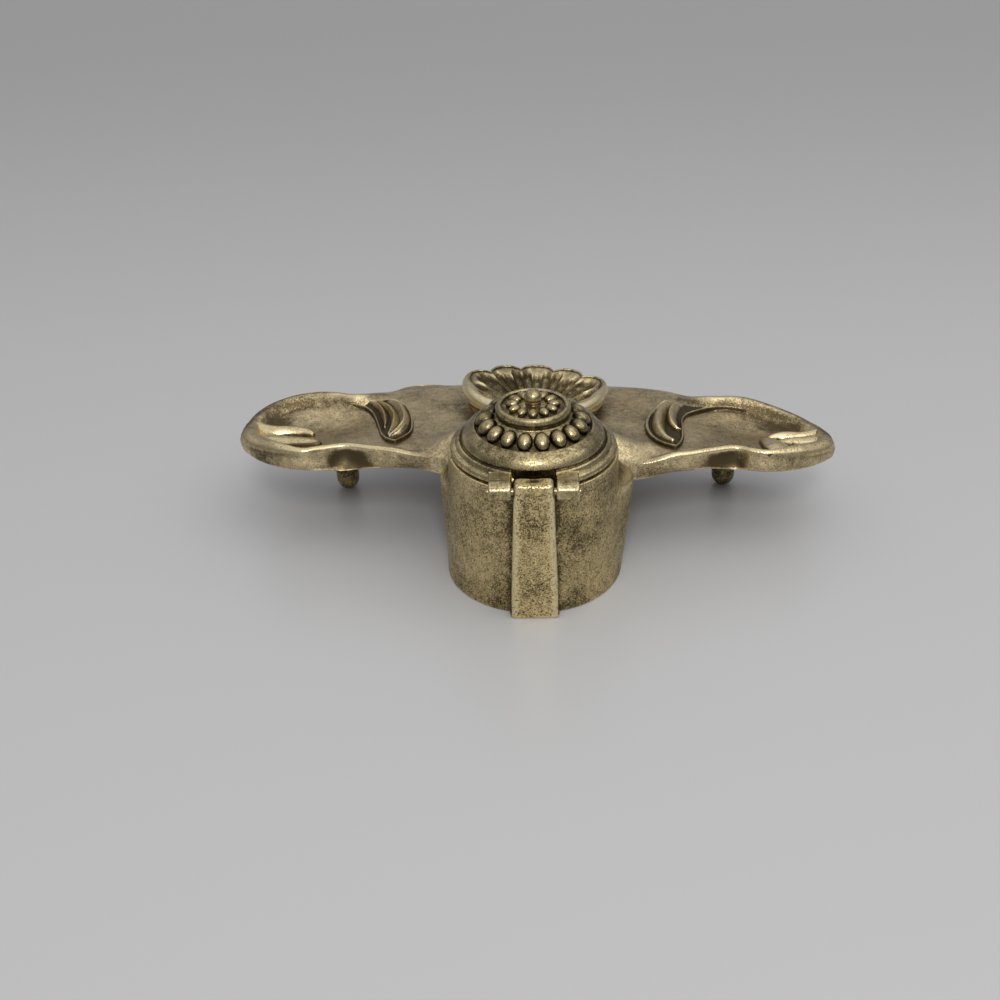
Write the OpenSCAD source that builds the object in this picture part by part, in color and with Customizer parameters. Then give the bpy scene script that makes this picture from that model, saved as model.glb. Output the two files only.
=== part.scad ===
// Cast brass desk inkstand: a two-winged pen tray around a round ink well with a hinged lid.
// The well stands on the desk with its axis on Z. The hinge is at the back, towards -Y, and the
// shell ornament is at the front, towards +Y. Two pegs under the wings keep the tray level.

/* [Tray] */
// From the well's axis to the tip of the left wing
left_reach = 107.5; // [100:0.5:114]
// From the well's axis to the tip of the right wing, which was cast a little longer
right_reach = 109.5; // [100:0.5:114]
// From the well's axis forward to the back edge of the wings
back_y = 14; // [12:0.5:17]
// From the well's axis to the front edge
front_y = 84; // [79:0.5:90]
// Height of the tray floor along its back edge
floor_z = 38.5; // [36:0.5:40]
// How far the tray floor falls from its back edge to its front edge
floor_fall = 5.2; // [3:0.2:7]
// Thickness of the cast skin
skin = 2.4; // [1.8:0.1:3.2]
// Depth of the apron that hangs from the tray's edge
apron_h = 8; // [6.5:0.25:10]
// Depth of the apron at a wing tip
tip_apron_h = 3.5; // [3:0.25:6]
// Width of the rolled rim round a wing
rim_w = 7.6; // [6:0.2:9]
// Height of the rolled rim above the floor beside it
rim_h = 3.4; // [2.4:0.1:4.2]
// Height of the small lip along the back edge
lip_h = 1.4; // [0.8:0.1:2]
// How deep each wing is dished for pens
dish_depth = 4.6; // [3:0.2:5.6]
// How far the front edge rolls down between the wings
front_roll = 3; // [2.5:0.25:5]
// How much lower the right wing tip was cast than the left
right_sag = 2.8; // [0:0.2:3.6]

/* [Well] */
// Outside diameter of the well at its rim
well_d = 58; // [54:0.5:62]
// Height of the well's rim above the desk
well_h = 47; // [45:0.5:50]
// Thickness of the well's wall at its rim
well_wall = 2.5; // [2:0.1:3]
// How much the outside radius grows from the rim to the foot
well_draft = 1.6; // [0.4:0.1:2.4]
// Thickness of the well's bottom
well_floor = 2.6; // [2:0.1:4]

/* [Hinge] */
// Width of the hinge post at the pin
post_w = 13; // [11:0.25:15]
// Width of the hinge post at the desk
post_foot_w = 16.4; // [14:0.2:19]
// Radius of the hinge knuckles
knuckle_r = 3.3; // [2.9:0.1:3.6]
// Width of one lid ear
ear_w = 7.4; // [6:0.2:9]
// Radius of the hinge pin
pin_r = 1.2; // [0.9:0.05:1.5]

/* [Lid] */
// Diameter of the lid's flange
lid_d = 56.8; // [52:0.2:60]
// Thickness of the lid's cast wall
lid_wall = 2.2; // [1.6:0.1:2.6]
// Number of large beads
large_beads = 18; // [14:1:20]
// Number of small beads
small_beads = 12; // [9:1:14]
// Radius of the knob on top
knob_r = 3.1; // [2.4:0.1:3.6]

/* [Ink pot] */
// Height of the glass ink pot
pot_h = 39; // [32:0.5:40]
// Thickness of the glass
pot_wall = 3.6; // [2.6:0.2:5]

/* [Pegs] */
// Radius of a peg foot where it meets the tray
peg_r = 4.8; // [4:0.1:6]
// Where a peg foot stands along its wing, as a share of the wing's reach
peg_share = 0.67; // [0.6:0.01:0.72]
// From the well's axis to the line of the peg feet
peg_y = 57; // [50:0.5:60]

/* [Shell ornament] */
// From the middle of the shell ornament to its front lobe
shell_r = 34; // [29:0.5:35]
// Height of the shell ornament's edge above the tray
shell_rise = 7.25; // [4:0.25:8]
// How far the shell ornament was set turned on the tray, in degrees
shell_turn = 3.5; // [0:0.5:6]
// How far the shell ornament leans down to the right, in degrees
shell_lean = 3; // [0:0.5:5]
// Radius of the roll along the back of the shell ornament
shell_roll = 2.3; // [1.8:0.1:2.8]

/* [Leaf scrolls] */
// Height of a leaf scroll above the tray floor
leaf_h = 4.2; // [3:0.2:5]
// Number of ribs on the left leaf scroll
left_ribs = 4; // [3:1:5]
// Number of ribs on the right leaf scroll
right_ribs = 2; // [2:1:4]

/* [Hidden] */

brass = "#8f7f55";
glass = "#dfe8e4";
steel = "#9a9484";

// clearances and seats
sink = 1.0;          // how deep a cast-on ornament is rooted in the tray
seat_gap = 0.3;      // between the lid's flange and the well's rim
pin_gap = 0.05;      // radial, between the pin and its bores in the ears
pin_grip = 0.02;     // radial, by which the pin is tight in the post
ear_gap = 0.85;      // between an ear and the post beside it
knuckle_gap = 0.5;   // between a knuckle and the notch that it turns in
pot_gap = 0.5;       // radial, between the glass and the well
corner = 0.6;        // the ears' ends are squared off by this much
ear_cut = 0.6;       // and this much is taken off below

depth = front_y - back_y;
well_r = well_d / 2;
well_foot_r = well_r + well_draft;
pot_r = well_r - well_wall - pot_gap;
lid_r = lid_d / 2;
lid_z = well_h + seat_gap;
axis_y = -(well_r + knuckle_r - 1.1);   // the hinge axis stands just behind the wall
axis_z = well_h + 1.3;
post_out = 2.9;                          // how far the post stands proud of the wall's foot
dish_y = back_y + 0.4 * depth;           // middle of a wing's dish
shell_y = 0.53 * front_y;               // where the shell ornament's ribs meet

// small helpers
function smooth(t) = let (u = max(0, min(1, t))) u * u * (3 - 2 * u);
function mix(a, b, t) = a + (b - a) * t;
function spline(p, t) =
    let (n = len(p) - 1, i = min(n - 1, max(0, floor(t))), u = t - i,
         a = p[max(0, i - 1)], b = p[i], c = p[i + 1], d = p[min(n, i + 2)])
    0.5 * ((2 * b) + (c - a) * u + (2 * a - 5 * b + 4 * c - d) * u * u
        + (3 * b - a - 3 * c + d) * u * u * u);
function unit(v) = v / norm(v);

// Height of the tray floor: a gentle slope, dished in each wing, drawn up to the well's rim,
// and rolled down along the front edge between the wings.
lift = well_h - 1.2 - floor_z;           // the floor climbs this much to meet the well
lift_w = 9.5;                            // over about this distance
roll_w = 12;                             // width of the rolled front edge
tip_fall = 3;                            // the floor falls this much more at a wing tip
left_droop = 0.5;                        // and droops this much where a wing's back edge
right_droop = 2.6;                       // meets the skirt
droop_x = 36;                            // this far from the middle
function reach(x) = x > 0 ? right_reach : left_reach;
function front_edge(x) = front_y - 3.6 * depth * pow(abs(x) / reach(x), 5.8);
function floor_at(x, y) =
    let (ax = abs(x) / reach(x), off_well = norm([x, y]) - well_r)
    floor_z - floor_fall * (y - back_y) / depth
    - tip_fall * smooth((ax - 0.72) / 0.28)
    + lift * exp(-pow(max(0, off_well) / lift_w, 2)) * mix(0.1, 1, smooth((y - 8) / 14))
    - (x > 0 ? right_droop : left_droop) * (1 - smooth((abs(x) - droop_x) / 16))
        * (1 - smooth((y - 9) / 13))
    - dish_depth * exp(-pow((ax - 0.765) / 0.2, 2) - pow((y - dish_y) / 17, 2))
    - front_roll * smooth(1 - (front_edge(x) - y) / roll_w) * (1 - smooth((ax - 0.5) / 0.12))
    - (x > 0 ? right_sag * ax : 0);

// The outline of each half, from the wing tip to the middle, as shares of the wing's reach and
// of the tray's depth. The back line bows in at the middle of the wing, then runs into a skirt
// down the well's side and on round the well under its rim.
function skirt_top(side) = [well_r + (side < 0 ? 3.8 : 5.8), 9.2];
function skirt_mid(side) = [well_r + (side < 0 ? 2.2 : 4.2), 8.4];
skirt_low = [well_foot_r - 0.6, 7.6];    // where the skirt meets the well at the desk
wall_r = well_r - well_wall / 3;         // the tray is rooted this far out in the well's wall
function share(p, w) = [p.x * w, back_y + p.y * depth];
left_back = [
    [1, 0.33], [0.977, 0.243], [0.92, 0.143], [0.847, 0.057], [0.763, 0.014],
    [0.693, 0.046], [0.623, 0.071], [0.54, 0.029], [0.437, -0.02], [0.363, -0.049]
];
right_back = [
    [1, 0.225], [0.982, 0.164], [0.932, 0.093], [0.855, 0.029], [0.764, 0],
    [0.705, 0.021], [0.655, 0.057], [0.582, 0.014], [0.491, -0.043], [0.391, -0.066]
];
left_front = [
    [1, 0.4], [0.9935, 0.475], [0.972, 0.6], [0.923, 0.7], [0.847, 0.755], [0.763, 0.765],
    [0.688, 0.752], [0.616, 0.727], [0.545, 0.83], [0.465, 0.965], [0.39, 1], [0.353, 1.002],
    [0.307, 0.986], [0.251, 0.99], [0.19, 0.995], [0.098, 1], [0, 1]
];
right_front = [
    [1, 0.3], [0.995, 0.35], [0.973, 0.44], [0.923, 0.555], [0.85, 0.64], [0.768, 0.698],
    [0.691, 0.722], [0.611, 0.712], [0.525, 0.772], [0.45, 0.885], [0.382, 0.943], [0.336, 0.957],
    [0.291, 0.971], [0.245, 0.982], [0.186, 0.99], [0.095, 0.999], [0, 1]
];
function back_line(side) =
    concat(
        [for (p = side < 0 ? left_back : right_back) share(p, reach(side))],
        [skirt_top(side), skirt_mid(side), skirt_low],
        [for (a = [16, 38, 64, 90]) wall_r * [cos(a), sin(a)]]
    );
function front_line(side) = [for (p = side < 0 ? left_front : right_front) share(p, reach(side))];
// how far the apron's lower edge stands out from the lip above it, at the points of the back line
left_flare = [-0.4, -0.3, 0, -0.6, -1.2, 1, 2.6, -0.3, -3, -2.4, 0.5, 0.5, 0.5, 0];
right_flare = [-0.4, -0.3, -0.4, -1, -1.2, -1, 0.5, -2, -2.6, -1.6, 0.5, 0.5, 0.5, 0];
steps = 3;                               // stations from one outline point to the next
stations = steps * (len(left_front) - 1);
skirt_at = 10;                           // where the apron turns down beside the well
well_at = 12;                            // where the skirt meets the well

function tangent(line, t) =
    let (e = 0.02, a = spline(line, max(0, t - e)), b = spline(line, min(len(line) - 1, t + e)))
    unit(b - a);

// the lowest point of the apron along the back: level, then down the skirt, then up in the wall
function apron_at(t) =
    mix(tip_apron_h, apron_h, smooth((t - 1) / 3.5)) * (1 - 0.15 * smooth((t - 6) / 4));
function back_low(t, x, z, side) =
    t < skirt_at ? z - apron_at(t)
    : t <= well_at + 0.01
        ? let (s = max(0, (x - skirt_low.x) / (skirt_top(side).x - skirt_low.x)))
          mix(0.4, z - apron_at(t), pow(s, side < 0 ? 0.9 : 1.5))
        : mix(0.4, z - skin / 2, smooth(t - well_at));

function bump(t) = t >= 1 ? 0 : sqrt(max(0, 1 - pow(2 * t - 1, 2)));
rim_rows = [0.1, 0.3, 0.6, 0.9, 1.25];   // where a rim's cross-section is sampled
mid_rows = [0.17, 0.33, 0.5, 0.67, 0.83];

// One cross-section of the tray, from its back edge over the top to its front edge and back
// along the underside.
function section(t, side) =
    let (
        back = back_line(side), front = front_line(side),
        b = spline(back, t), f = spline(front, t),
        span = norm(f - b), dir = (f - b) / span,
        tb = tangent(back, t), tf = tangent(front, t),
        into_wall = max(0, min(1, t - well_at)),
        nb = t < 0.01 ? [1, 0]
            : t < skirt_at - 0.5 ? [-tb.y, tb.x]
            : unit(mix([0, -1], -unit(b), into_wall)),
        nf = t < 0.01 ? [1, 0] : [tf.y, -tf.x],
        ax = b.x / reach(side),
        lip = smooth((ax - 0.74) / 0.14),
        in_wall = t > well_at + 0.01,
        wb = min(mix(3.4, rim_w, lip), 0.3 * span),
        hb = in_wall ? 0 : mix(lip_h * smooth((ax - 0.33) / 0.14), rim_h, lip),
        wf = min(rim_w, 0.3 * span),
        from_tip = (reach(side) - b.x) / rim_w,
        hf = rim_h * smooth((f.x / reach(side) - 0.5) / 0.13),
        zb = floor_at(side * b.x, b.y), zf = floor_at(side * f.x, f.y),
        low_b = back_low(t, b.x, zb, side), low_f = zf - apron_at(t),
        flares = side < 0 ? left_flare : right_flare,
        flare = in_wall ? 0 : spline([for (v = flares) [v, 0]], t).x,
        hollow = in_wall ? 0 : 0.7 - flare / 4,
        root = mix(min(skin, 0.3 * span), 0.6, into_wall),
        top = function (q, h) let (p = b + dir * q)
            [side * p.x, p.y, floor_at(side * p.x, p.y) + h],
        at = function (p, n, d, z) [side * (p.x + n.x * d), p.y + n.y * d, z],
        ib = b - nb * root, jf = f - nf * min(skin, 0.3 * span),
        under = function (q) let (p = mix(ib, jf, q))
            [side * p.x, p.y, floor_at(side * p.x, p.y) - skin]
    )
    [
        at(b, nb, flare, low_b), at(b, nb, -hollow, mix(low_b, zb, 0.45)), at(b, nb, 0, zb),
        for (r = rim_rows) top(r * wb, hb * bump(min(r, from_tip))),
        for (r = mid_rows) top(mix(1.25 * wb, span - 1.25 * wf, r), mix(hb, hf, r) * bump(from_tip)),
        for (i = [len(rim_rows) - 1 : -1 : 0])
            top(span - rim_rows[i] * wf, hf * bump(min(rim_rows[i], from_tip))),
        at(f, nf, 0, zf), at(f, nf, -0.7, mix(low_f, zf, 0.45)), at(f, nf, 0.5, low_f),
        at(f, nf, 0.5 - min(skin, 0.3 * span), low_f), under(1),
        for (i = [4 : -1 : 0]) under(mid_rows[i]),
        under(0), at(b, nb, flare - root, low_b)
    ];

rows = 3 + 5 + 5 + 5 + 3 + 2 + 5 + 2;    // points in one cross-section
outer_rows = 21;                         // of which these are the outside

module tray_shell() {
    left = [for (i = [0 : stations]) section(i / steps, -1)];
    right = [for (i = [stations - 1 : -1 : 0]) section(i / steps, 1)];
    all = concat(left, right);
    n = len(all);
    points = concat([for (s = all) for (p = s) p], tip_points(all[0], -1), tip_points(all[n - 1], 1));
    skin_faces = [
        for (i = [0 : n - 2]) for (j = [0 : rows - 1])
            let (k = (j + 1) % rows, a = i * rows, b = a + rows)
            each [[a + j, b + k, b + j], [a + j, a + k, b + k]]
    ];
    color(brass) polyhedron(points, concat(
        skin_faces,
        tip_cap(0, n * rows, true),
        tip_cap((n - 1) * rows, n * rows + 2, false)
    ));
}

// A wing tip is closed by two fans: one outside, slightly domed, and one inside the hollow.
function middle(p) = [for (k = [0 : 2]) sum([for (q = p) q[k]]) / len(p)];
function sum(v, i = 0) = i == len(v) ? 0 : v[i] + sum(v, i + 1);
function tip_points(s, side) =
    let (
        outside = middle([s[0], s[2], s[outer_rows - 3], s[outer_rows - 1]]),
        inside = middle([s[outer_rows], s[outer_rows + 1], s[rows - 2], s[rows - 1]])
    )
    [outside + [side * 0.4, 0, 0], inside];
function tip_cap(a, c, flip) =
    let (
        o = outer_rows, n = rows - outer_rows,
        fans = concat(
            [for (j = [0 : o - 1]) [a + j, a + (j + 1) % o, c]],
            [for (j = [0 : n - 1]) [a + o + j, a + o + (j + 1) % n, c + 1]],
            [[a, a + o - 1, a + o], [a, a + o, a + rows - 1]]
        )
    )
    [for (q = fans) flip ? [q[2], q[1], q[0]] : q];

// The well: a drafted cup with a flat bottom, notched at the rim for the lid's ears.
module well_cup() {
    ear_x = post_w / 2 + ear_gap;
    notch_r = knuckle_r + corner + knuckle_gap;
    color(brass) difference() {
        cylinder(r1 = well_foot_r, r2 = well_r, h = well_h, $fn = 96);
        translate([0, 0, well_floor]) cylinder(r = pot_r + pot_gap, h = well_h, $fn = 96);
        for (s = [-1, 1])
            translate([s * (ear_x + ear_w / 2), axis_y, axis_z]) rotate([0, 90, 0])
                cylinder(r = notch_r, h = ear_w + 2 * knuckle_gap, center = true, $fn = 48);
    }
}

// The hinge post: a tapering bar up the back of the well, rounded at the top and bored for the pin.
module hinge_post() {
    foot_y = -(well_foot_r + post_out);
    top_y = axis_y - knuckle_r + 0.2;
    head_r = knuckle_r - 0.2;
    head_front = 1.2;        // the head reaches this far beyond its own radius, over the rim
    head_top = 0.5;          // and stands this much higher than it
    inner_y = -(well_r - 0.4);
    color(brass) difference() {
        union() {
            intersection() {
                rotate([90, 0, 90]) linear_extrude(post_foot_w + 2, center = true)
                    polygon([
                        [foot_y, 0], [inner_y, 0], [inner_y, axis_z - head_r],
                        [axis_y + head_r, axis_z], [top_y, axis_z]
                    ]);
                rotate([90, 0, 0]) linear_extrude(3 * well_d, center = true)
                    polygon([[-post_foot_w / 2, -1], [post_foot_w / 2, -1],
                        [post_w / 2, axis_z + knuckle_r], [-post_w / 2, axis_z + knuckle_r]]);
            }
            // the head: rounded at the back, flat on top and carried forward over the rim
            translate([0, axis_y, axis_z]) intersection() {
                rotate([0, 90, 0])
                    cylinder(r = head_r + head_front + 0.2, h = post_w, center = true, $fn = 48);
                translate([-post_w, -head_r, -head_r])
                    cube([2 * post_w, 2 * head_r + head_front, 2 * head_r + head_top]);
            }
        }
        translate([0, axis_y, axis_z]) rotate([0, 90, 0])
            cylinder(r = pin_r - pin_grip, h = post_foot_w + 4, center = true, $fn = 32);
        translate([0, 0, -1])
            cylinder(r1 = well_foot_r - 0.4, r2 = well_r - 0.4, h = well_h + 1.2, $fn = 96);
    }
}

// A peg foot: tapered, with a domed end that touches the desk.
module peg_foot(side) {
    x = side * peg_share * reach(side);
    top_z = floor_at(x, peg_y) - skin + sink;
    end_r = 0.9 * peg_r;
    dome = [for (a = [-90 : 15 : 0]) [end_r * cos(a), end_r * (1 + sin(a))]];
    color(brass) translate([x, peg_y, 0]) rotate_extrude($fn = 48)
        polygon(concat([[0, 0]], [for (i = [1 : len(dome) - 1]) dome[i]], [[peg_r, top_z], [0, top_z]]));
}

// The glass ink pot, which lifts out of the well when the lid is open.
module ink_pot() {
    lip = pot_wall / 2;
    inner_r = pot_r - pot_wall;
    bowl_r = 5;
    color(glass, 0.5) translate([0, 0, well_floor]) rotate_extrude($fn = 96)
        polygon(concat(
            [[0, 0], [pot_r - 1.5, 0], [pot_r, 1.5]],
            [for (a = [0 : 20 : 180]) [pot_r - lip + lip * cos(a), pot_h - lip + lip * sin(a)]],
            [for (a = [0 : 15 : 90])
                [inner_r - bowl_r + bowl_r * cos(a), pot_wall + 1 + bowl_r - bowl_r * sin(a)]],
            [[0, pot_wall + 1]]
        ));
}

module hinge_pin() {
    length = post_w + 2 * (ear_gap + ear_w) + 0.8;
    color(steel) translate([0, axis_y, axis_z]) rotate([0, 90, 0])
        cylinder(r = pin_r, h = length, center = true, $fn = 32);
}

// The lid's profile above its flange, outside then inside: a rolled flange, a broad moulding,
// a sloping seat for the large beads, and a raised saucer with the small beads round the knob.
band_r = 0.855 * lid_r;
seat_r = 0.7 * lid_r;
disc_r = 0.45 * lid_r;
seat_z = 8.6;            // height of the seat's outer edge above the flange's underside
bead_z = 10.7;           // height of the large beads' middles
disc_z = 14.2;           // height of the saucer's edge
disc_top = disc_z + 2.8; // height of the saucer's floor under the knob
lid_outside = [
    [lid_r - 1.2, 0], [lid_r - 0.3, 0.4], [lid_r, 1.3], [lid_r - 0.4, 2.3], [lid_r - 1.3, 2.8],
    [lid_r - 1.9, 2.9], [lid_r - 2.1, 3.5], [lid_r - 2.5, 4.2], [lid_r - 3.1, 4.4], [band_r + 0.3, 4.1],
    [band_r, 4.5], [band_r, 5.3], [band_r - 0.9, 7], [band_r - 2.3, seat_z - 0.2],
    [seat_r + 0.9, seat_z + 0.7], [seat_r + 0.2, seat_z + 0.9], [seat_r - 0.3, seat_z + 0.4],
    [seat_r - 0.8, seat_z],
    [disc_r + 1, disc_z - 2.2], [disc_r - 0.6, disc_z - 1.2], [disc_r - 0.2, disc_z],
    [disc_r, disc_z + 1.2], [disc_r - 0.4, disc_z + 2.3], [disc_r - 1.2, disc_z + 2.8],
    [disc_r - 2, disc_z + 2.5], [disc_r - 2.6, disc_z + 1.6], [disc_r - 8, disc_z + 2.4],
    [2.1, disc_top], [0, disc_top]
];
lid_inside = [
    [0, disc_z + 2.4 - lid_wall], [disc_r - 3 - lid_wall / 2, disc_z + 1.2 - lid_wall],
    [disc_r - lid_wall, disc_z - 2.4 - lid_wall / 2], [seat_r - 1.5, seat_z + 0.2 - lid_wall],
    [band_r - lid_wall, 4.6 - lid_wall / 4], [lid_r - 2.2 - lid_wall, 1.6], [lid_r - 2.2 - lid_wall, 0]
];

// an egg-shaped bead, long along Y
module bead(w, l) {
    rotate([-90, 0, 0]) rotate_extrude($fn = 32)
        polygon([for (a = [-90 : 22.5 : 90]) [w / 2 * cos(a), l / 2 * sin(a)]]);
}

// the ring of large beads, each long down the lid's slope
bead_r = (seat_r + disc_r) / 2 - 0.2;
bead_slope = 33;
large_bead_w = 5.5;
large_bead_l = 7.2;
small_bead_w = 3.2;
small_bead_l = 4.7;
module lid_large_beads() {
    w = min(large_bead_w, 0.97 * 2 * PI * bead_r / large_beads);
    color(brass) translate([0, 0, lid_z])
        for (i = [0 : large_beads - 1]) rotate([0, 0, (i + 0.5) * 360 / large_beads])
            translate([0, -bead_r, bead_z]) rotate([bead_slope, 0, 0]) bead(w, large_bead_l);
}

module lid_small_beads() {
    r = 0.245 * lid_r;
    w = min(small_bead_w, 0.9 * 2 * PI * r / small_beads);
    color(brass) translate([0, 0, lid_z])
        for (i = [0 : small_beads - 1]) rotate([0, 0, i * 360 / small_beads])
            translate([0, -r, disc_z + 2.5]) bead(w, small_bead_l);
}

module lid_knob() {
    r = knob_r;
    color(brass) translate([0, 0, lid_z + disc_top]) rotate_extrude($fn = 48)
        polygon(concat(
            [[0, -1.5], [r * 0.6, -1.5], [r * 0.6, 0.3]],
            [for (a = [-30 : 15 : 60]) [r * cos(a), 2.2 + r * 0.85 * sin(a)]],
            [[0, 2.4 + r]]
        ));
}

module lid() {
    ear_x = post_w / 2 + ear_gap + ear_w / 2;
    color(brass) difference() {
        union() {
            translate([0, 0, lid_z]) rotate_extrude($fn = 96) polygon(concat(lid_outside, lid_inside));
            for (s = [-1, 1]) translate([s * ear_x, 0, 0]) ear();
        }
        // room for the hinge post between the ears
        translate([-post_w / 2 - ear_gap, axis_y - 5, lid_z - 1])
            cube([post_w + 2 * ear_gap, -axis_y + 7.6 - band_r, 5.6]);
        translate([0, axis_y, axis_z]) rotate([0, 90, 0])
            cylinder(r = pin_r + pin_gap, h = 2 * (ear_x + ear_w), center = true, $fn = 32);
    }
}

// One ear of the lid: a plate over the flange that ends in a knuckle round the pin.
module ear() {
    plate_top = 4;
    translate([-ear_w / 2, axis_y, lid_z])
        cube([ear_w, -axis_y - band_r + 1, plate_top]);
    translate([0, axis_y, axis_z]) rotate([0, 90, 0]) intersection() {
        cylinder(r = knuckle_r + corner, h = ear_w, center = true, $fn = 48);
        translate([-corner - ear_cut / 2, 0, 0])
            cube([2 * knuckle_r - ear_cut, 2 * knuckle_r, ear_w + 1], center = true);
    }
}

// The shell ornament: a fluted bowl on the front of the tray. Its front is scalloped into five
// lobes, each with three flutes between sharp ribs, and its back edge is a thick roll.
// The outline is given as pairs of an angle from the front and a share of the lobe radius.
shell_outline = [
    [0, 1], [4, 0.995], [8, 0.96], [11, 0.905], [12.5, 0.875], [14, 0.915], [18, 0.985],
    [23, 1.015], [28, 1], [33, 0.945], [36, 0.895], [38, 0.955], [42, 1.01], [47, 1.01],
    [53, 0.975], [62, 0.915], [75, 0.81], [90, 0.72], [108, 0.62], [130, 0.515], [155, 0.455],
    [180, 0.44]
];
lobe_edges = [-80, -36, -12.5, 12.5, 36, 80];
lobe_steps = 12;
roll_steps = 16;
flutes = 3;
flute_depth = 1.4;
roll_start = 45;         // the roll begins this many degrees from the front
shell_angles = concat(
    [for (j = [0 : 4]) for (w = [0 : 1 / lobe_steps : 0.999])
        [mix(lobe_edges[j], lobe_edges[j + 1], w), w]],
    [for (i = [0 : roll_steps - 1]) [80 + i * 200 / roll_steps, 0]]
);
function shell_out(a) = shell_r * lookup(a > 180 ? 360 - a : abs(a), shell_outline);
function shell_point(a, q) =
    let (r = shell_out(a) * q, t = a + shell_turn) [r * sin(t), shell_y + r * cos(t)];
function shell_top(w, q) =
    let (fade = smooth((q - 0.12) / 0.25) * (1 - smooth((q - 0.86) / 0.1)))
    shell_rise * (0.42 + 0.58 * pow(q, 1.5)) - flute_depth * fade * pow(abs(sin(180 * flutes * w)), 0.7);
function shell_root(p) = floor_at(p.x, p.y) - sink;
function shell_base(a) =
    let (p = shell_point(a, 0.9)) floor_z - floor_fall * (p.y - back_y) / depth - tan(shell_lean) * p.x;

shell_rows = [0.12, 0.3, 0.5, 0.7, 0.88];
function shell_section(a, w) =
    let (
        side = smooth(((a > 180 ? 360 - a : abs(a)) - roll_start) / 30),
        roll = shell_roll * side,
        base = shell_base(a), edge = shell_out(a), r_in = 1 - (1.2 + 1.8 * roll) / edge,
        z_in = base + shell_top(w, r_in), z_edge = base + shell_top(0, 1),
        at = function (q, z) let (p = shell_point(a, q)) [p.x, p.y, z],
        low = function (q) let (p = shell_point(a, q)) [p.x, p.y, shell_root(p)]
    )
    [
        for (q = shell_rows) at(q * r_in, base + shell_top(w, q * r_in)),
        at(r_in, z_in),
        at(mix(r_in, 1, 0.3), z_edge + 0.3 + 0.7 * roll),
        at(mix(r_in, 1, 0.65), z_edge + 0.2 + 0.8 * roll),
        at(1, z_edge - 0.6), at(mix(r_in, 1, 0.8), z_edge - 1.6 - 0.7 * roll),
        low(mix(r_in, 1, 0.3)), low(0.55)
    ];

module shell_ornament() {
    ring = [for (v = shell_angles) shell_section(v[0], v[1])];
    n = len(ring);
    m = len(ring[0]);
    top = n * m;
    points = concat(
        [for (s = ring) for (p = s) p],
        [[0, shell_y, shell_base(0) + shell_top(0, 0)], [0, shell_y, shell_root([0, shell_y])]]
    );
    color(brass) polyhedron(points, [
        for (i = [0 : n - 1])
            let (a = i * m, b = ((i + 1) % n) * m)
            each concat(
                [[top, a, b]],
                [for (j = [0 : m - 2]) each [[a + j, b + j + 1, b + j], [a + j, a + j + 1, b + j + 1]]],
                [[top + 1, b + m - 1, a + m - 1]]
            )
    ]);
}

// A leaf scroll: a ribbed strip that grows out of the wing's front rim and hooks round to the
// back. Its two edges are given as shares of the wing's reach and of the tray's depth.
left_leaf_in = [
    [0.767, 0.665], [0.719, 0.682], [0.663, 0.638], [0.615, 0.606], [0.58, 0.557], [0.554, 0.471],
    [0.531, 0.328], [0.514, 0.206], [0.49, 0.133], [0.458, 0.103]
];
left_leaf_out = [
    [0.767, 0.695], [0.701, 0.697], [0.629, 0.683], [0.558, 0.68], [0.497, 0.66], [0.453, 0.61],
    [0.424, 0.509], [0.407, 0.36], [0.41, 0.215], [0.458, 0.103]
];
right_leaf_in = [
    [0.744, 0.592], [0.683, 0.609], [0.62, 0.592], [0.568, 0.541], [0.525, 0.477], [0.506, 0.392],
    [0.503, 0.281], [0.497, 0.181], [0.485, 0.1], [0.466, 0.047]
];
right_leaf_out = [
    [0.746, 0.62], [0.678, 0.645], [0.597, 0.644], [0.517, 0.635], [0.458, 0.628], [0.409, 0.543],
    [0.375, 0.388], [0.371, 0.242], [0.398, 0.114], [0.459, 0.04]
];
leaf_steps = 28;
leaf_cols = 18;
// across the leaf: a thin border ridge on both sides, a valley inside each, and ribs between
function leaf_height(u, v, ribs) =
    let (
        m = min(v, 1 - v),
        grow = smooth((u + 0.1) / 0.4) * (1 - 0.6 * smooth((u - 0.85) / 0.15)),
        body = smooth((m - 0.1) / 0.26),
        border = exp(-pow((m - 0.055) / 0.045, 2)),
        rib = abs(sin(180 * (v - 0.15) / 0.7 * ribs)) * smooth((m - 0.13) / 0.08),
        form = 0.34 * border * min(1, 0.5 + grow) + grow * (0.04 + 0.46 * body + 0.42 * rib)
    )
    leaf_h * form * smooth(m / 0.04);
function leaf_section(i, side, ribs) =
    let (
        inner = side < 0 ? left_leaf_in : right_leaf_in,
        outer = side < 0 ? left_leaf_out : right_leaf_out,
        u = 0.975 * i / leaf_steps, t = u * (len(inner) - 1),
        a = share(spline(inner, t), reach(side)), b = share(spline(outer, t), reach(side)),
        at = function (v, z) let (p = mix(a, b, v), x = side * p.x) [x, p.y, floor_at(x, p.y) + z]
    )
    concat(
        [for (k = [0 : leaf_cols])
            at(k / leaf_cols, i == 0 || i == leaf_steps ? 0 : leaf_height(u, k / leaf_cols, ribs))],
        [for (k = [3 : -1 : 0]) at(k / 3, -sink)]
    );

module leaf_scroll(side, ribs) {
    sections = [for (i = [0 : leaf_steps]) leaf_section(i, side, ribs)];
    color(brass) strip(sections, side < 0);
}

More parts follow.
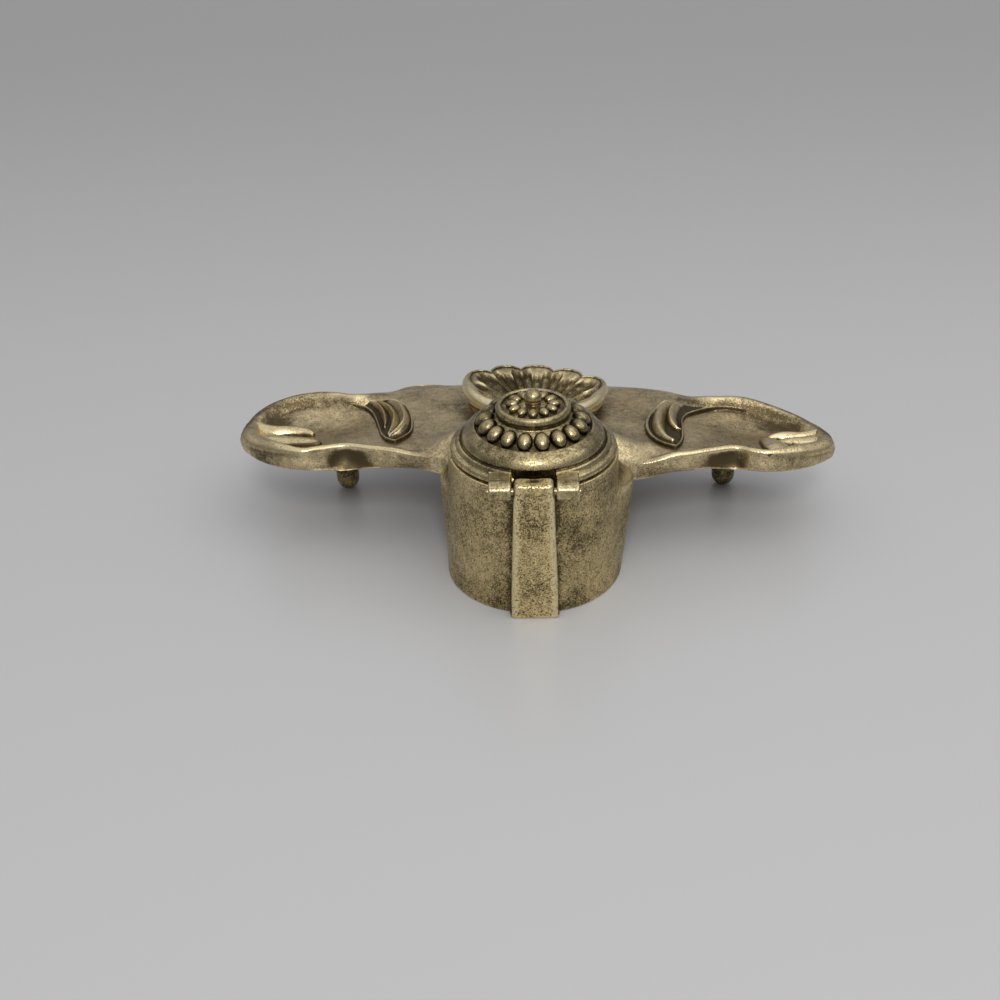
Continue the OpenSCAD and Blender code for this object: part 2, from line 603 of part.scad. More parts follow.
// A closed strip: the cross-sections are joined in turn and each end is closed by a fan.
module strip(sections, flip) {
    n = len(sections);
    m = len(sections[0]);
    first = sections[0];
    last = sections[n - 1];
    faces = concat(
        [for (i = [0 : n - 2]) for (j = [0 : m - 1])
            let (k = (j + 1) % m, a = i * m, b = a + m)
            each [[a + j, b + j, b + k], [a + j, b + k, a + k]]],
        [for (j = [0 : m - 1]) [j, (j + 1) % m, n * m]],
        [for (j = [0 : m - 1]) let (a = (n - 1) * m) [a + (j + 1) % m, a + j, n * m + 1]]
    );
    ends = [
        middle([first[0], first[m - 1], first[m - 4], first[m - 5]]),
        middle([last[0], last[m - 1], last[m - 4], last[m - 5]])
    ];
    points = concat([for (s = sections) for (p = s) p], ends);
    polyhedron(points, [for (f = faces) flip ? [f[2], f[1], f[0]] : f]);
}

// A rim curl: the wing's rim turns in at the tip and lies on the dish as a tapering tongue.
left_curl = [
    [0.962, 0.5], [0.953, 0.44], [0.93, 0.4], [0.884, 0.376], [0.835, 0.385], [0.785, 0.366],
    [0.75, 0.325]
];
right_curl = [
    [0.965, 0.42], [0.955, 0.375], [0.937, 0.348], [0.896, 0.322], [0.85, 0.332], [0.815, 0.325],
    [0.785, 0.3]
];
curl_steps = 18;
curl_cols = 8;
function curl_section(i, side) =
    let (
        line = [for (p = side < 0 ? left_curl : right_curl) share(p, reach(side))],
        u = i / curl_steps, t = u * (len(line) - 1),
        p = spline(line, t), d = tangent(line, t),
        n = [-d.y, d.x], w = mix(3.2, 2.5, u) * (1 - 0.8 * smooth((u - 0.8) / 0.2)),
        h = mix(3.8, 3.2, u) * smooth((u + 0.15) / 0.4) * (1 - 0.6 * smooth((u - 0.8) / 0.2)),
        at = function (v, z) let (q = p + n * w * v, x = side * q.x) [x, q.y, floor_at(x, q.y) + z]
    )
    concat(
        [for (k = [0 : curl_cols]) let (a = 180 * k / curl_cols) at(-cos(a), h * sin(a))],
        [for (v = [0.9, 0.3, -0.3, -0.9]) at(v, -sink)]
    );

module rim_curl(side) {
    color(brass) strip([for (i = [0 : curl_steps]) curl_section(i, side)], side > 0);
}

tray_shell();
well_cup();
hinge_post();
peg_foot(-1);  // left_peg_foot
peg_foot(1);  // right_peg_foot
shell_ornament();
leaf_scroll(-1, left_ribs);  // left_leaf_scroll
leaf_scroll(1, right_ribs);  // right_leaf_scroll
rim_curl(-1);  // left_rim_curl
rim_curl(1);  // right_rim_curl
ink_pot();
hinge_pin();
lid();
lid_large_beads();
lid_small_beads();
lid_knob();
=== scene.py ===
import math

import bpy
import numpy as np
from mathutils import Matrix, Vector


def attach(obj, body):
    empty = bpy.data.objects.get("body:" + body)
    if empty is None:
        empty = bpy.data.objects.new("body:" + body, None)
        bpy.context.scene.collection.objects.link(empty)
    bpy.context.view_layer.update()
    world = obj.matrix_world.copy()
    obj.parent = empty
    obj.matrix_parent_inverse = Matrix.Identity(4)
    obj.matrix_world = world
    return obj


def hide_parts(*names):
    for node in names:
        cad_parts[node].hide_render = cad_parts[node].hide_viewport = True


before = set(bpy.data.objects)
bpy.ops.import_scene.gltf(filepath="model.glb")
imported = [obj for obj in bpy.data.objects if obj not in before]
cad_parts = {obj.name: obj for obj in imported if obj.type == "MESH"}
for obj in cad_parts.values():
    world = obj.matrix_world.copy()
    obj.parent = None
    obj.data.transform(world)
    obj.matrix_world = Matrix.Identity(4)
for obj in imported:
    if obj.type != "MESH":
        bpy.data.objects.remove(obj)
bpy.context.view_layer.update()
MM = 0.001


# Tray casting
# The pen tray is one brass casting: a dished sheet with rolled rims round its two wings and an
# apron along its edge. It runs up to the ink well and turns down beside it as two skirts.
# It was cast in sand, filed, and left to darken, so its high places are rubbed bright.

# in every pair kept by side, -1 is the left wing and 1 the right one
REACH = {-1: 107.5, 1: 109.5}
BACK_Y = 14.0
FRONT_Y = 84.0
DEPTH = FRONT_Y - BACK_Y
FLOOR_Z = 38.5
FLOOR_FALL = 5.2
SKIN = 2.4
APRON_H = 8.0
TIP_APRON_H = 3.5
RIM_W = 7.6
RIM_H = 3.4
LIP_W = 3.4
LIP_H = 1.4
DISH_DEPTH = 4.6
DISH_AT = 0.765
DISH_SHARE = 0.2
DISH_Y = BACK_Y + 0.4 * DEPTH
DISH_W = 17.0
FRONT_SWEEP = 3.6
FRONT_POWER = 5.8
FRONT_ROLL = 3.0
ROLL_W = 12.0
RIGHT_SAG = 2.8
TIP_FALL = 3.0
TIP_FROM = 0.72
DROOP = {-1: 0.5, 1: 2.6}
DROOP_X = 36.0
DROOP_W = 16.0
DROOP_Y = 9.0
WELL_R = 29.0
WELL_FOOT_R = 30.6
WELL_H = 47.0
WELL_WALL = 2.5
BELOW_RIM = 1.2
LIFT = WELL_H - BELOW_RIM - FLOOR_Z
LIFT_W = 9.5
SKIRT_TOP = {-1: (WELL_R + 3.8, 9.2), 1: (WELL_R + 5.8, 9.2)}
SKIRT_MID = {-1: (WELL_R + 2.2, 8.4), 1: (WELL_R + 4.2, 8.4)}
SKIRT_LOW = (WELL_FOOT_R - 0.6, 7.6)
SKIRT_CURVE = {-1: 0.9, 1: 1.5}
SKIRT_FOOT = 0.4
SKIRT_AT = 10
WELL_AT = 12
# the outline, as shares of the reach and of the depth, from the wing's tip to the middle
BACK = {
    -1: [(1, .33), (.977, .243), (.92, .143), (.847, .057), (.763, .014),
         (.693, .046), (.623, .071), (.54, .029), (.437, -.02), (.363, -.049)],
    1: [(1, .225), (.982, .164), (.932, .093), (.855, .029), (.764, 0),
        (.705, .021), (.655, .057), (.582, .014), (.491, -.043), (.391, -.066)],
}
FRONT = {
    -1: [(1, .4), (.9935, .475), (.972, .6), (.923, .7), (.847, .755), (.763, .765),
         (.688, .752), (.616, .727), (.545, .83), (.465, .965), (.39, 1), (.353, 1.002),
         (.307, .986), (.251, .99), (.19, .995), (.098, 1), (0, 1)],
    1: [(1, .3), (.995, .35), (.973, .44), (.923, .555), (.85, .64), (.768, .698),
        (.691, .722), (.611, .712), (.525, .772), (.45, .885), (.382, .943), (.336, .957),
        (.291, .971), (.245, .982), (.186, .99), (.095, .999), (0, 1)],
}
# how far the apron's lower edge stands out, and how far its face bellies, along the back line
FLARE = {
    -1: [-.4, -.3, 0, -.6, -1.2, 1, 2.6, -.3, -3, -2.4, .5, .5, .5, 0, 0, 0, 0],
    1: [-.4, -.3, -.4, -1, -1.2, -1, .5, -2, -2.6, -1.6, .5, .5, .5, 0, 0, 0, 0],
}
BELLY = {
    -1: [.5, .5, .7, 1, 1.1, .6, -1.5, .2, 1, .6, 0, 0, 0, 0, 0, 0, 0],
    1: [.5, .5, .7, .9, 1, .8, -1.3, -.4, 1, .8, 0, 0, 0, 0, 0, 0, 0],
}
# points across the tray: in an edge's fillet, up an apron's face, over a rim, and on the floor
FILLET_STEPS, FACE_STEPS, RIM_STEPS, FLOOR_STEPS = 3, 12, 18, 66
TRAY_OUTSIDE = 2 * (FILLET_STEPS + FACE_STEPS + RIM_STEPS) + FLOOR_STEPS


def smooth(t):
    """Zero up to t = 0, one from t = 1, and a soft S-curve between."""
    u = np.clip(t, 0, 1)
    return u * u * (3 - 2 * u)


def mix(a, b, t):
    """a at t = 0 and b at t = 1, on a straight line."""
    return a + (b - a) * t


def spline(points, t):
    """Catmull-Rom curve: it passes through every point, and t counts the points from 0."""
    p = np.asarray(points, float)
    n = len(p) - 1
    t = np.asarray(t, float)
    i = np.clip(np.floor(t).astype(int), 0, n - 1)
    u = (t - i)[..., None]
    a, b, c, d = p[np.maximum(i - 1, 0)], p[i], p[i + 1], p[np.minimum(i + 2, n)]
    return 0.5 * (2 * b + (c - a) * u + (2 * a - 5 * b + 4 * c - d) * u**2 + (3 * b - a - 3 * c + d) * u**3)


def unit(v):
    """v scaled to length one, along its last axis."""
    return v / np.maximum(np.linalg.norm(v, axis=-1, keepdims=True), 1e-9)


def tangent(points, t):
    """Direction of the spline at t, from two points a little before and after."""
    e, last = 0.02, len(points) - 1
    return unit(spline(points, np.minimum(t + e, last)) - spline(points, np.maximum(t - e, 0)))


def wing_reach(x):
    """Distance from the middle of the tray to the tip of the wing that x is on."""
    return np.where(x > 0, REACH[1], REACH[-1])


def floor_height(x, y):
    """The tray floor: a slope, less the fall at the tips, the two dishes, the rolled front edge, the
    right wing's sag and the droop beside the skirts, plus a bell-shaped climb to the well's rim."""
    ax = np.abs(x) / wing_reach(x)
    off_well = np.maximum(0, np.hypot(x, y) - WELL_R)
    front_edge = FRONT_Y - FRONT_SWEEP * DEPTH * ax**FRONT_POWER
    return (
        FLOOR_Z - FLOOR_FALL * (y - BACK_Y) / DEPTH - TIP_FALL * smooth((ax - TIP_FROM) / (1 - TIP_FROM))
        + LIFT * np.exp(-((off_well / LIFT_W) ** 2)) * mix(0.1, 1, smooth((y - 8) / 14))
        - np.where(x > 0, DROOP[1], DROOP[-1]) * (1 - smooth((np.abs(x) - DROOP_X) / DROOP_W))
        * (1 - smooth((y - DROOP_Y) / (DROOP_W - 3)))
        - DISH_DEPTH * np.exp(-(((ax - DISH_AT) / DISH_SHARE) ** 2) - ((y - DISH_Y) / DISH_W) ** 2)
        - FRONT_ROLL * smooth(1 - (front_edge - y) / ROLL_W) * (1 - smooth((ax - 0.5) / 0.12))
        - np.where(x > 0, RIGHT_SAG * ax, 0)
    )


def shares(points, side):
    """Outline points given as shares of the wing's reach and of the tray's depth, in millimetres."""
    p = np.asarray(points, float)
    return np.stack([p[:, 0] * REACH[side], BACK_Y + p[:, 1] * DEPTH], 1)


def back_line(side):
    """The back outline from the wing's tip, down the skirt, and on round the well under its rim."""
    a = np.radians([16, 38, 64, 90])
    on_wall = (WELL_R - WELL_WALL / 3) * np.stack([np.cos(a), np.sin(a)], 1)
    return np.concatenate([shares(BACK[side], side), [SKIRT_TOP[side], SKIRT_MID[side], SKIRT_LOW], on_wall])


def off_segments(x, y, line):
    """For each point and each segment of a line: the distance between them, the share of the segment
    where they are nearest, and a number that is above 0 where the point is left of the segment."""
    a, d = line[:-1], np.diff(line, axis=0)
    px, py = x[..., None] - a[:, 0], y[..., None] - a[:, 1]
    t = np.clip((px * d[:, 0] + py * d[:, 1]) / (d**2).sum(1), 0, 1)
    return np.hypot(px - t * d[:, 0], py - t * d[:, 1]), t, d[:, 0] * py - d[:, 1] * px


def off_line(x, y, line):
    """Distance from each point to the nearest place on a line of points."""
    return off_segments(x, y, line)[0].min(-1)


def rim_height(x, y, side):
    """The rolled rim: across it, a quarter circle rises from the outline to the crest, and a soft
    S-curve falls to the floor. It is broadest round the tip and only a low lip beside the well."""
    back = spline(back_line(side), np.linspace(0, SKIRT_AT, 91))
    front = spline(shares(FRONT[side], side), np.linspace(0, 12, 97))
    tip = [back[0], front[0]]
    ax = x / REACH[side]
    lip = smooth((ax - 0.74) / 0.14)
    broad = RIM_W * (1 + (0.2 if side < 0 else 0.08) * smooth((ax - 0.84) / 0.12))
    from_back = off_line(x, y, np.concatenate([tip[::-1], back[1:]]))
    from_front = off_line(x, y, np.concatenate([tip, front[1:]]))
    r_back, r_front = from_back / mix(LIP_W, broad, lip), from_front / broad
    r = np.minimum(r_back, r_front)
    h_back = mix(LIP_H * smooth((ax - 0.33) / 0.14), RIM_H, lip)
    h_front = RIM_H * smooth((ax - 0.5) / 0.13)
    h = mix(h_back, h_front, smooth(0.5 + 0.5 * (r_back - r_front)))
    outer = np.sqrt(np.maximum(0, 1 - (2 * np.minimum(r, 0.5) - 1) ** 2))
    return h * outer * smooth((1.12 - r) / 0.62)


def tray_half(side, t):
    """Cross-sections of one half at stations t, each from the back edge up the apron, over the rim
    and floor to the front edge, and back along the underside. Each is a ring of points."""
    back, front = back_line(side), shares(FRONT[side], side)
    b, f = spline(back, t), spline(front, t)
    span = np.linalg.norm(f - b, axis=1)
    way = (f - b) / span[:, None]
    tb, tf = tangent(back, t), tangent(front, t)
    into_wall = np.clip(t - WELL_AT, 0, 1)
    at_tip = (t < 0.01)[:, None]
    nb = np.where((t < SKIRT_AT - 0.5)[:, None], np.stack([-tb[:, 1], tb[:, 0]], 1),
                  unit(mix(np.array([0.0, -1.0]), -unit(b), into_wall[:, None])))
    nb = np.where(at_tip, [1.0, 0.0], nb)
    nf = np.where(at_tip, [1.0, 0.0], np.stack([tf[:, 1], -tf[:, 0]], 1))
    in_wall = t > WELL_AT + 0.01
    rim_w = np.minimum(RIM_W, 0.3 * span)
    zb, zf = floor_height(side * b[:, 0], b[:, 1]), floor_height(side * f[:, 0], f[:, 1])
    hang = mix(TIP_APRON_H, APRON_H, smooth((t - 1) / 3.5)) * (1 - 0.15 * smooth((t - 6) / 4))
    s = np.maximum(0, (b[:, 0] - SKIRT_LOW[0]) / (SKIRT_TOP[side][0] - SKIRT_LOW[0]))
    low_b = np.where(t < SKIRT_AT, zb - hang, mix(SKIRT_FOOT, zb - hang, s ** SKIRT_CURVE[side]))
    low_b = np.where(in_wall, mix(SKIRT_FOOT, zb - SKIN / 2, smooth(t - WELL_AT)), low_b)
    low_f = zf - hang
    flare = np.where(in_wall, 0, spline(np.array(FLARE[side])[:, None], t)[:, 0])
    belly = np.where(in_wall, 0, spline(np.array(BELLY[side])[:, None], t)[:, 0])
    inner = np.minimum(SKIN, 0.3 * span)
    root = mix(inner, 0.6, into_wall)

    def col(v):
        """One value a station, as a column that spreads over the points of its cross-section."""
        return v[:, None]

    def edge(p, n, off, z):
        """Points off the outline p along its outward direction n."""
        x, y = col(p[:, 0]) + col(n[:, 0]) * off, col(p[:, 1]) + col(n[:, 1]) * off
        return np.stack([side * x, y, z + 0 * x], -1)

    def top(q):
        """Points of the rim and floor at q millimetres across from the back line."""
        x, y = col(b[:, 0]) + col(way[:, 0]) * q, col(b[:, 1]) + col(way[:, 1]) * q
        rim = rim_height(x, y, side) * (1 - col(np.clip(t - WELL_AT + 1, 0, 1)))
        return np.stack([side * x, y, floor_height(side * x, y) + rim], -1)

    turn = np.radians(np.linspace(0, 60, FILLET_STEPS))[None, :]
    fillet = 0.55 * (1 - 0.5 * col(into_wall))
    fillet_in, fillet_up = fillet * (1 - np.sin(turn)), fillet * (1 - np.cos(turn))
    up = np.linspace(0.07, 1, FACE_STEPS)[None, :]
    bead = 0.22 * np.exp(-((up - 0.09) / 0.05) ** 2) * col(1 - into_wall)
    face_b = col(flare) * (1 - up) + col(belly) * 4 * up * (1 - up) + bead
    face_f = 0.5 * (1 - up) - 0.6 * 4 * up * (1 - up) + bead
    over = 0.5 - 0.5 * np.cos(np.pi * np.linspace(0.06, 1, RIM_STEPS)[None, :])
    mid = np.linspace(0, 1, FLOOR_STEPS + 2)[None, 1:-1]
    q_mid = mix(1.05 * col(rim_w), col(span) - 1.05 * col(rim_w), mid)
    under = np.linspace(1, 0, 18)[None, :]
    ib, jf = b - nb * col(root), f - nf * col(inner)
    ux, uy = mix(col(ib[:, 0]), col(jf[:, 0]), under), mix(col(ib[:, 1]), col(jf[:, 1]), under)
    return np.concatenate([
        edge(b, nb, col(flare) - fillet_in, col(low_b) + fillet_up),
        edge(b, nb, face_b, mix(col(low_b), col(zb), up)),
        top(over * col(rim_w)), top(q_mid), top(col(span) - over[:, ::-1] * col(rim_w)),
        edge(f, nf, face_f[:, ::-1], mix(col(low_f), col(zf), up[:, ::-1])),
        edge(f, nf, 0.5 - fillet_in[:, ::-1], col(low_f) + fillet_up[:, ::-1]),
        edge(f, nf, 0.5 - col(inner), col(low_f)),
        np.stack([side * ux, uy, floor_height(side * ux, uy) - SKIN], -1),
        edge(b, nb, col(flare - root), col(low_b)),
    ], 1)


def grid_faces(rows, cols, wrap_rows=False, wrap_cols=False):
    """Two triangles for each cell of a grid of points, which are numbered row by row."""
    i = np.arange(rows if wrap_rows else rows - 1)[:, None]
    j = np.arange(cols if wrap_cols else cols - 1)[None, :]
    a, b = i * cols + j, ((i + 1) % rows) * cols + j
    c, d = ((i + 1) % rows) * cols + (j + 1) % cols, i * cols + (j + 1) % cols
    a, b, c, d = (v.ravel() for v in np.broadcast_arrays(a, b, c, d))
    return np.concatenate([np.stack([a, b, c], 1), np.stack([a, c, d], 1)])


def fan_faces(ring, centre):
    """Triangles from each edge of a closed ring of point numbers to a centre point."""
    ring = np.asarray(ring)
    return np.stack([ring, np.roll(ring, -1), np.full(len(ring), centre)], 1)


def orient(points, faces):
    """Turns all faces of a closed shape outwards: the sum of its signed tetrahedra is then positive."""
    a, b, c = points[faces[:, 0]], points[faces[:, 1]], points[faces[:, 2]]
    return faces if np.einsum("ij,ij->i", a, np.cross(b, c)).sum() > 0 else faces[:, ::-1]


def point_normals(points, faces):
    """The area-weighted mean of the faces round each point."""
    n = np.cross(points[faces[:, 1]] - points[faces[:, 0]], points[faces[:, 2]] - points[faces[:, 0]])
    return unit(np.stack([
        sum(np.bincount(faces[:, k], n[:, axis], len(points)) for k in range(3)) for axis in range(3)], 1))


def standing_out(points, faces, rounds):
    """How far each point stands out of the surface round it, which is smoothed so many rounds:
    a point moves half way to the mean of its neighbours, the nearer of which count for more."""
    e = np.unique(np.sort(np.concatenate([faces[:, [0, 1]], faces[:, [1, 2]], faces[:, [2, 0]]]), 1), axis=0)
    i, j = e.T
    w = 1 / (np.linalg.norm(points[i] - points[j], axis=1) + 0.02)
    n = len(points)
    total = np.bincount(i, w, n) + np.bincount(j, w, n)
    p = points.copy()
    for _ in range(rounds):
        q = [np.bincount(i, w * p[j, k], n) + np.bincount(j, w * p[i, k], n) for k in range(3)]
        p = 0.5 * (p + np.stack(q, 1) / total[:, None])
    return ((points - p) * point_normals(points, faces)).sum(1)


def unevenness(p):
    """The slight waviness of a sand casting: four crossed sine waves, 9 to 23 mm long."""
    x, y, z = p.T
    return 0.25 * (
        np.sin(0.27 * x + 0.11 * y + 0.2 * z) + np.sin(0.19 * y - 0.31 * x + 1.7)
        + np.sin(0.52 * x + 0.33 * y + 0.4 * z + 0.6) + np.sin(0.61 * y - 0.24 * x - 0.5 * z + 2.9)
    )


def cast_piece(name, shells, material, body, nodes, rough_cast=0.09, shade_highlight_and_wear=None, wear=1.0, copper=None):
    """Makes one object of closed shells, each a pair of points in mm and faces. Shared points are
    merged, the surface gets its waviness, and three attributes are kept for the patina: relief, which
    is above 0 on ridges and below 0 in hollows, shade_highlight_and_wear, which is painted shade where
    it is above 0 and painted highlights or rubbed brass where it is below 0, and copper, where the
    brass has lost its zinc and turned red."""
    points, faces, reliefs, shade_highlight_and_wear_lists, start = [], [], [], [], 0
    for p, f in shells:
        _, first, back = np.unique(np.round(p, 4), axis=0, return_index=True, return_inverse=True)
        p, f = p[first], back.reshape(-1)[f]
        f = f[(f[:, 0] != f[:, 1]) & (f[:, 1] != f[:, 2]) & (f[:, 2] != f[:, 0])]
        f = orient(p, f)
        relief = wear * (3 * standing_out(p, f, 8) + 0.35 * standing_out(p, f, 50))
        p = p + point_normals(p, f) * (rough_cast * unevenness(p))[:, None]
        p[:, 2] = np.maximum(p[:, 2], 0)
        points.append(p), faces.append(f + start), reliefs.append(relief)
        shade_highlight_and_wear_lists.append(np.zeros(len(p)) if shade_highlight_and_wear is None else shade_highlight_and_wear(p))
        start += len(p)
    points, faces = np.concatenate(points), np.concatenate(faces)
    mesh = bpy.data.meshes.new(name)
    mesh.from_pydata((points * MM).tolist(), [], faces.tolist())
    mesh.polygons.foreach_set("use_smooth", np.ones(len(faces), bool))
    mesh.set_sharp_from_angle(angle=math.radians(50))
    kept = {"relief": np.clip(np.concatenate(reliefs), -1.2, 1.2), "shade_highlight_and_wear": np.concatenate(shade_highlight_and_wear_lists),
            "copper": np.zeros(len(points)) if copper is None else copper(points)}
    for key, values in kept.items():
        mesh.attributes.new(key, "FLOAT", "POINT").data.foreach_set("value", values.astype(np.float32))
    mesh.materials.append(material)
    mesh.update()
    piece = bpy.data.objects.new(name, mesh)
    bpy.context.scene.collection.objects.link(piece)
    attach(piece, body)
    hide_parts(*nodes)
    return piece


def put(tree, kind, inputs=None, **settings):
    """Adds a shader node, sets its options, and gives each named input a value or a link."""
    n = tree.nodes.new(kind)
    for key, value in settings.items():
        setattr(n, key, value)
    for key, value in (inputs or {}).items():
        if isinstance(value, bpy.types.NodeSocket):
            tree.links.new(value, n.inputs[key])
        else:
            n.inputs[key].default_value = value
    return n


def calc(tree, operation, a, b=0.0, clamp=False):
    """A Math node with two inputs."""
    return put(tree, "ShaderNodeMath", {0: a, 1: b}, operation=operation, use_clamp=clamp).outputs[0]


def ramp(tree, value, low, high, to_low=0.0, to_high=1.0):
    """A Map Range node that goes softly from to_low at low to to_high at high."""
    return put(tree, "ShaderNodeMapRange", {
        "Value": value, "From Min": low, "From Max": high, "To Min": to_low, "To Max": to_high,
    }, interpolation_type="SMOOTHSTEP").outputs[0]


def tint(tree, share, a, b):
    """A Mix node for colours."""
    return put(tree, "ShaderNodeMix", {0: share, 6: a, 7: b}, data_type="RGBA").outputs[2]


def make_patina():
    """The finish of old cast brass, as a group. Its tone follows the relief, the painted shade and
    painted highlights of shade_highlight_and_wear, and four sizes of noise; fine pits stay dark, ridges
    are rubbed to bright metal, painted highlights take the same bright metal, and some places are coppery."""
    group = bpy.data.node_groups.new("old_brass_patina", "ShaderNodeTree")
    for name, kind, value in (
        ("Clean", "NodeSocketColor", (0.5, 0.4, 0.2, 1)),
        ("Tarnish", "NodeSocketColor", (0.1, 0.07, 0.03, 1)),
        ("Rubbed", "NodeSocketColor", (0.8, 0.7, 0.4, 1)),
        ("Relief", "NodeSocketFloat", 0.0), ("Shade_highlight_and_wear", "NodeSocketFloat", 0.0),
        ("Pitting", "NodeSocketFloat", 1.0), ("Clouds", "NodeSocketFloat", 1.0),
        ("Copper", "NodeSocketFloat", 0.0), ("Polish", "NodeSocketFloat", 0.0),
    ):
        socket = group.interface.new_socket(name, in_out="INPUT", socket_type=kind)
        socket.default_value = value
    for name, kind in (
        ("Color", "NodeSocketColor"), ("Roughness", "NodeSocketFloat"), ("Height", "NodeSocketFloat"),
    ):
        group.interface.new_socket(name, in_out="OUTPUT", socket_type=kind)
    given = put(group, "NodeGroupInput").outputs
    place = put(group, "ShaderNodeTexCoord").outputs["Object"]

    def noise(scale, detail, rough=0.55):
        """A noise texture; the scale is in blotches a metre."""
        return put(group, "ShaderNodeTexNoise", {
            "Vector": place, "Scale": scale, "Detail": detail, "Roughness": rough}).outputs[0]

    def about(value, share):
        """Noise turned into a plus or minus of the given share."""
        return calc(group, "MULTIPLY", calc(group, "SUBTRACT", value, 0.5), share)

    fine, speck, blotch, cloud = noise(3100, 2, 0.6), noise(1650, 3, 0.65), noise(400, 3), noise(62, 3)
    pits = ramp(group, speck, 0.36, 0.46, 1, 0)
    pits = calc(group, "MULTIPLY", pits, ramp(group, blotch, 0.36, 0.60, 0.4, 1))
    pits = calc(group, "MULTIPLY", pits, given["Pitting"])
    grain = calc(group, "ADD", about(fine, 1.7), about(speck, 1.4))
    uneven = calc(group, "ADD", about(blotch, 1.2), about(cloud, 1.6))
    uneven = calc(group, "MULTIPLY", uneven, given["Clouds"])
    tone = calc(group, "MULTIPLY_ADD", grain, calc(group, "ADD", given["Pitting"], 0.25))
    tone.node.inputs[2].default_value = 0.54
    tone = calc(group, "ADD", tone, uneven)
    tone = calc(group, "ADD", tone, calc(group, "MULTIPLY", given["Relief"], 0.6))
    # the mask darkens the tone as painted shade, and where it is below zero lightens it as painted highlight
    tone = calc(group, "SUBTRACT", tone, calc(group, "MULTIPLY", given["Shade_highlight_and_wear"], 0.75), clamp=True)
    rub_and_highlight = calc(group, "MULTIPLY_ADD", given["Relief"], 1.5)
    rub_and_highlight.node.inputs[2].default_value = -0.35
    # below zero the mask adds painted highlight in the Rubbed colour, on top of the real wear on ridges
    rub_and_highlight = calc(group, "SUBTRACT", rub_and_highlight, calc(group, "MULTIPLY", given["Shade_highlight_and_wear"], 0.9))
    rub_and_highlight = calc(group, "ADD", rub_and_highlight, about(speck, 1.8), clamp=True)
    colour = tint(group, tone, given["Tarnish"], given["Clean"])
    colour = tint(group, calc(group, "MULTIPLY", rub_and_highlight, 0.85), colour, given["Rubbed"])
    coppery = calc(group, "ADD", about(grain, 1.2), 1.0)
    coppery = calc(group, "MULTIPLY", given["Copper"], coppery, clamp=True)
    colour = tint(group, calc(group, "MULTIPLY", coppery, 0.8), colour, (0.62, 0.35, 0.17, 1))
    colour = tint(group, calc(group, "MULTIPLY", pits, 0.7), colour, given["Tarnish"])
    rough = calc(group, "SUBTRACT", ramp(group, tone, 0, 1, 0.48, 0.3), calc(group, "MULTIPLY", rub_and_highlight, 0.08))
    rough = calc(group, "SUBTRACT", rough, given["Polish"])
    rough = calc(group, "ADD", rough, calc(group, "MULTIPLY", pits, 0.14))
    height = calc(group, "SUBTRACT", calc(group, "ADD", about(speck, 0.9), about(fine, 0.5)), pits)
    height = calc(group, "ADD", height, calc(group, "MULTIPLY", blotch, 0.8))
    put(group, "NodeGroupOutput", {"Color": colour, "Roughness": rough, "Height": height})
    return group


patina = make_patina()


def old_brass(name, clean, tarnish, rubbed, pitting=1.0, clouds=1.0, bump=0.35, polish=0.0, worn=True):
    """A brass material: the patina's colour, roughness and pits on bare metal. A worn one reads the
    attributes that cast_piece keeps."""
    material = bpy.data.materials.new(name)
    material.use_nodes = True
    tree = material.node_tree
    tree.nodes.clear()
    finish = put(tree, "ShaderNodeGroup", node_tree=patina)
    values = {"Clean": clean + (1,), "Tarnish": tarnish + (1,), "Rubbed": rubbed + (1,), "Pitting": pitting,
              "Clouds": clouds, "Polish": polish}
    for key, value in values.items():
        finish.inputs[key].default_value = value
    if worn:
        for key in ("relief", "shade_highlight_and_wear", "copper"):
            attribute = put(tree, "ShaderNodeAttribute", attribute_name=key)
            tree.links.new(attribute.outputs["Fac"], finish.inputs[key.capitalize()])
    relief = put(tree, "ShaderNodeBump", {
        "Strength": bump, "Distance": 0.12 * MM, "Height": finish.outputs["Height"]})
    metal = put(tree, "ShaderNodeBsdfPrincipled", {
        "Base Color": finish.outputs["Color"], "Roughness": finish.outputs["Roughness"], "Metallic": 1.0,
        "Normal": relief.outputs["Normal"]})
    put(tree, "ShaderNodeOutputMaterial", {"Surface": metal.outputs[0]})
    return material


RUBBED = (0.84, 0.72, 0.43)
tray_brass = old_brass("tray_brass", (0.80, 0.65, 0.38), (0.11, 0.082, 0.042), RUBBED,
                       pitting=0.65, clouds=0.85, polish=0.04)

# the edges of the leaf scrolls, towards the dish and away from it, in the same shares
LEAF_IN = {
    -1: [(.767, .665), (.719, .682), (.663, .638), (.615, .606), (.58, .557), (.554, .471),
         (.531, .328), (.514, .206), (.49, .133), (.458, .103)],
    1: [(.744, .592), (.683, .609), (.62, .592), (.568, .541), (.525, .477), (.506, .392),
        (.503, .281), (.497, .181), (.485, .1), (.466, .047)],
}
LEAF_OUT = {
    -1: [(.767, .695), (.701, .697), (.629, .683), (.558, .68), (.497, .66), (.453, .61),
         (.424, .509), (.407, .36), (.41, .215), (.458, .103)],
    1: [(.746, .62), (.678, .645), (.597, .644), (.517, .635), (.458, .628), (.409, .543),
        (.375, .388), (.371, .242), (.398, .114), (.459, .04)],
}
SHELL_Y = 0.53 * FRONT_Y


def near_line(p, line, width):
    """One on a line of points and falling like a bell curve over width beside it."""
    d2 = ((p[:, None, :2] - line[None, ::3]) ** 2).sum(-1).min(1)
    return np.exp(-d2 / width**2)


# spots on the tray: the place in x and y, the widths along x and y, and the strength
COPPER_SPOTS = [(35, 62, 6, 9, 0.75), (-68, 46, 7, 5, 0.4), (75, 52, 8, 4, 0.3)]
BRIGHT_SPOTS = [(-40, 66, 9, 9, 0.5), (-38, 46, 9, 12, 0.4), (38, 60, 9, 12, 0.35), (-74, 50, 12, 8, 0.25)]
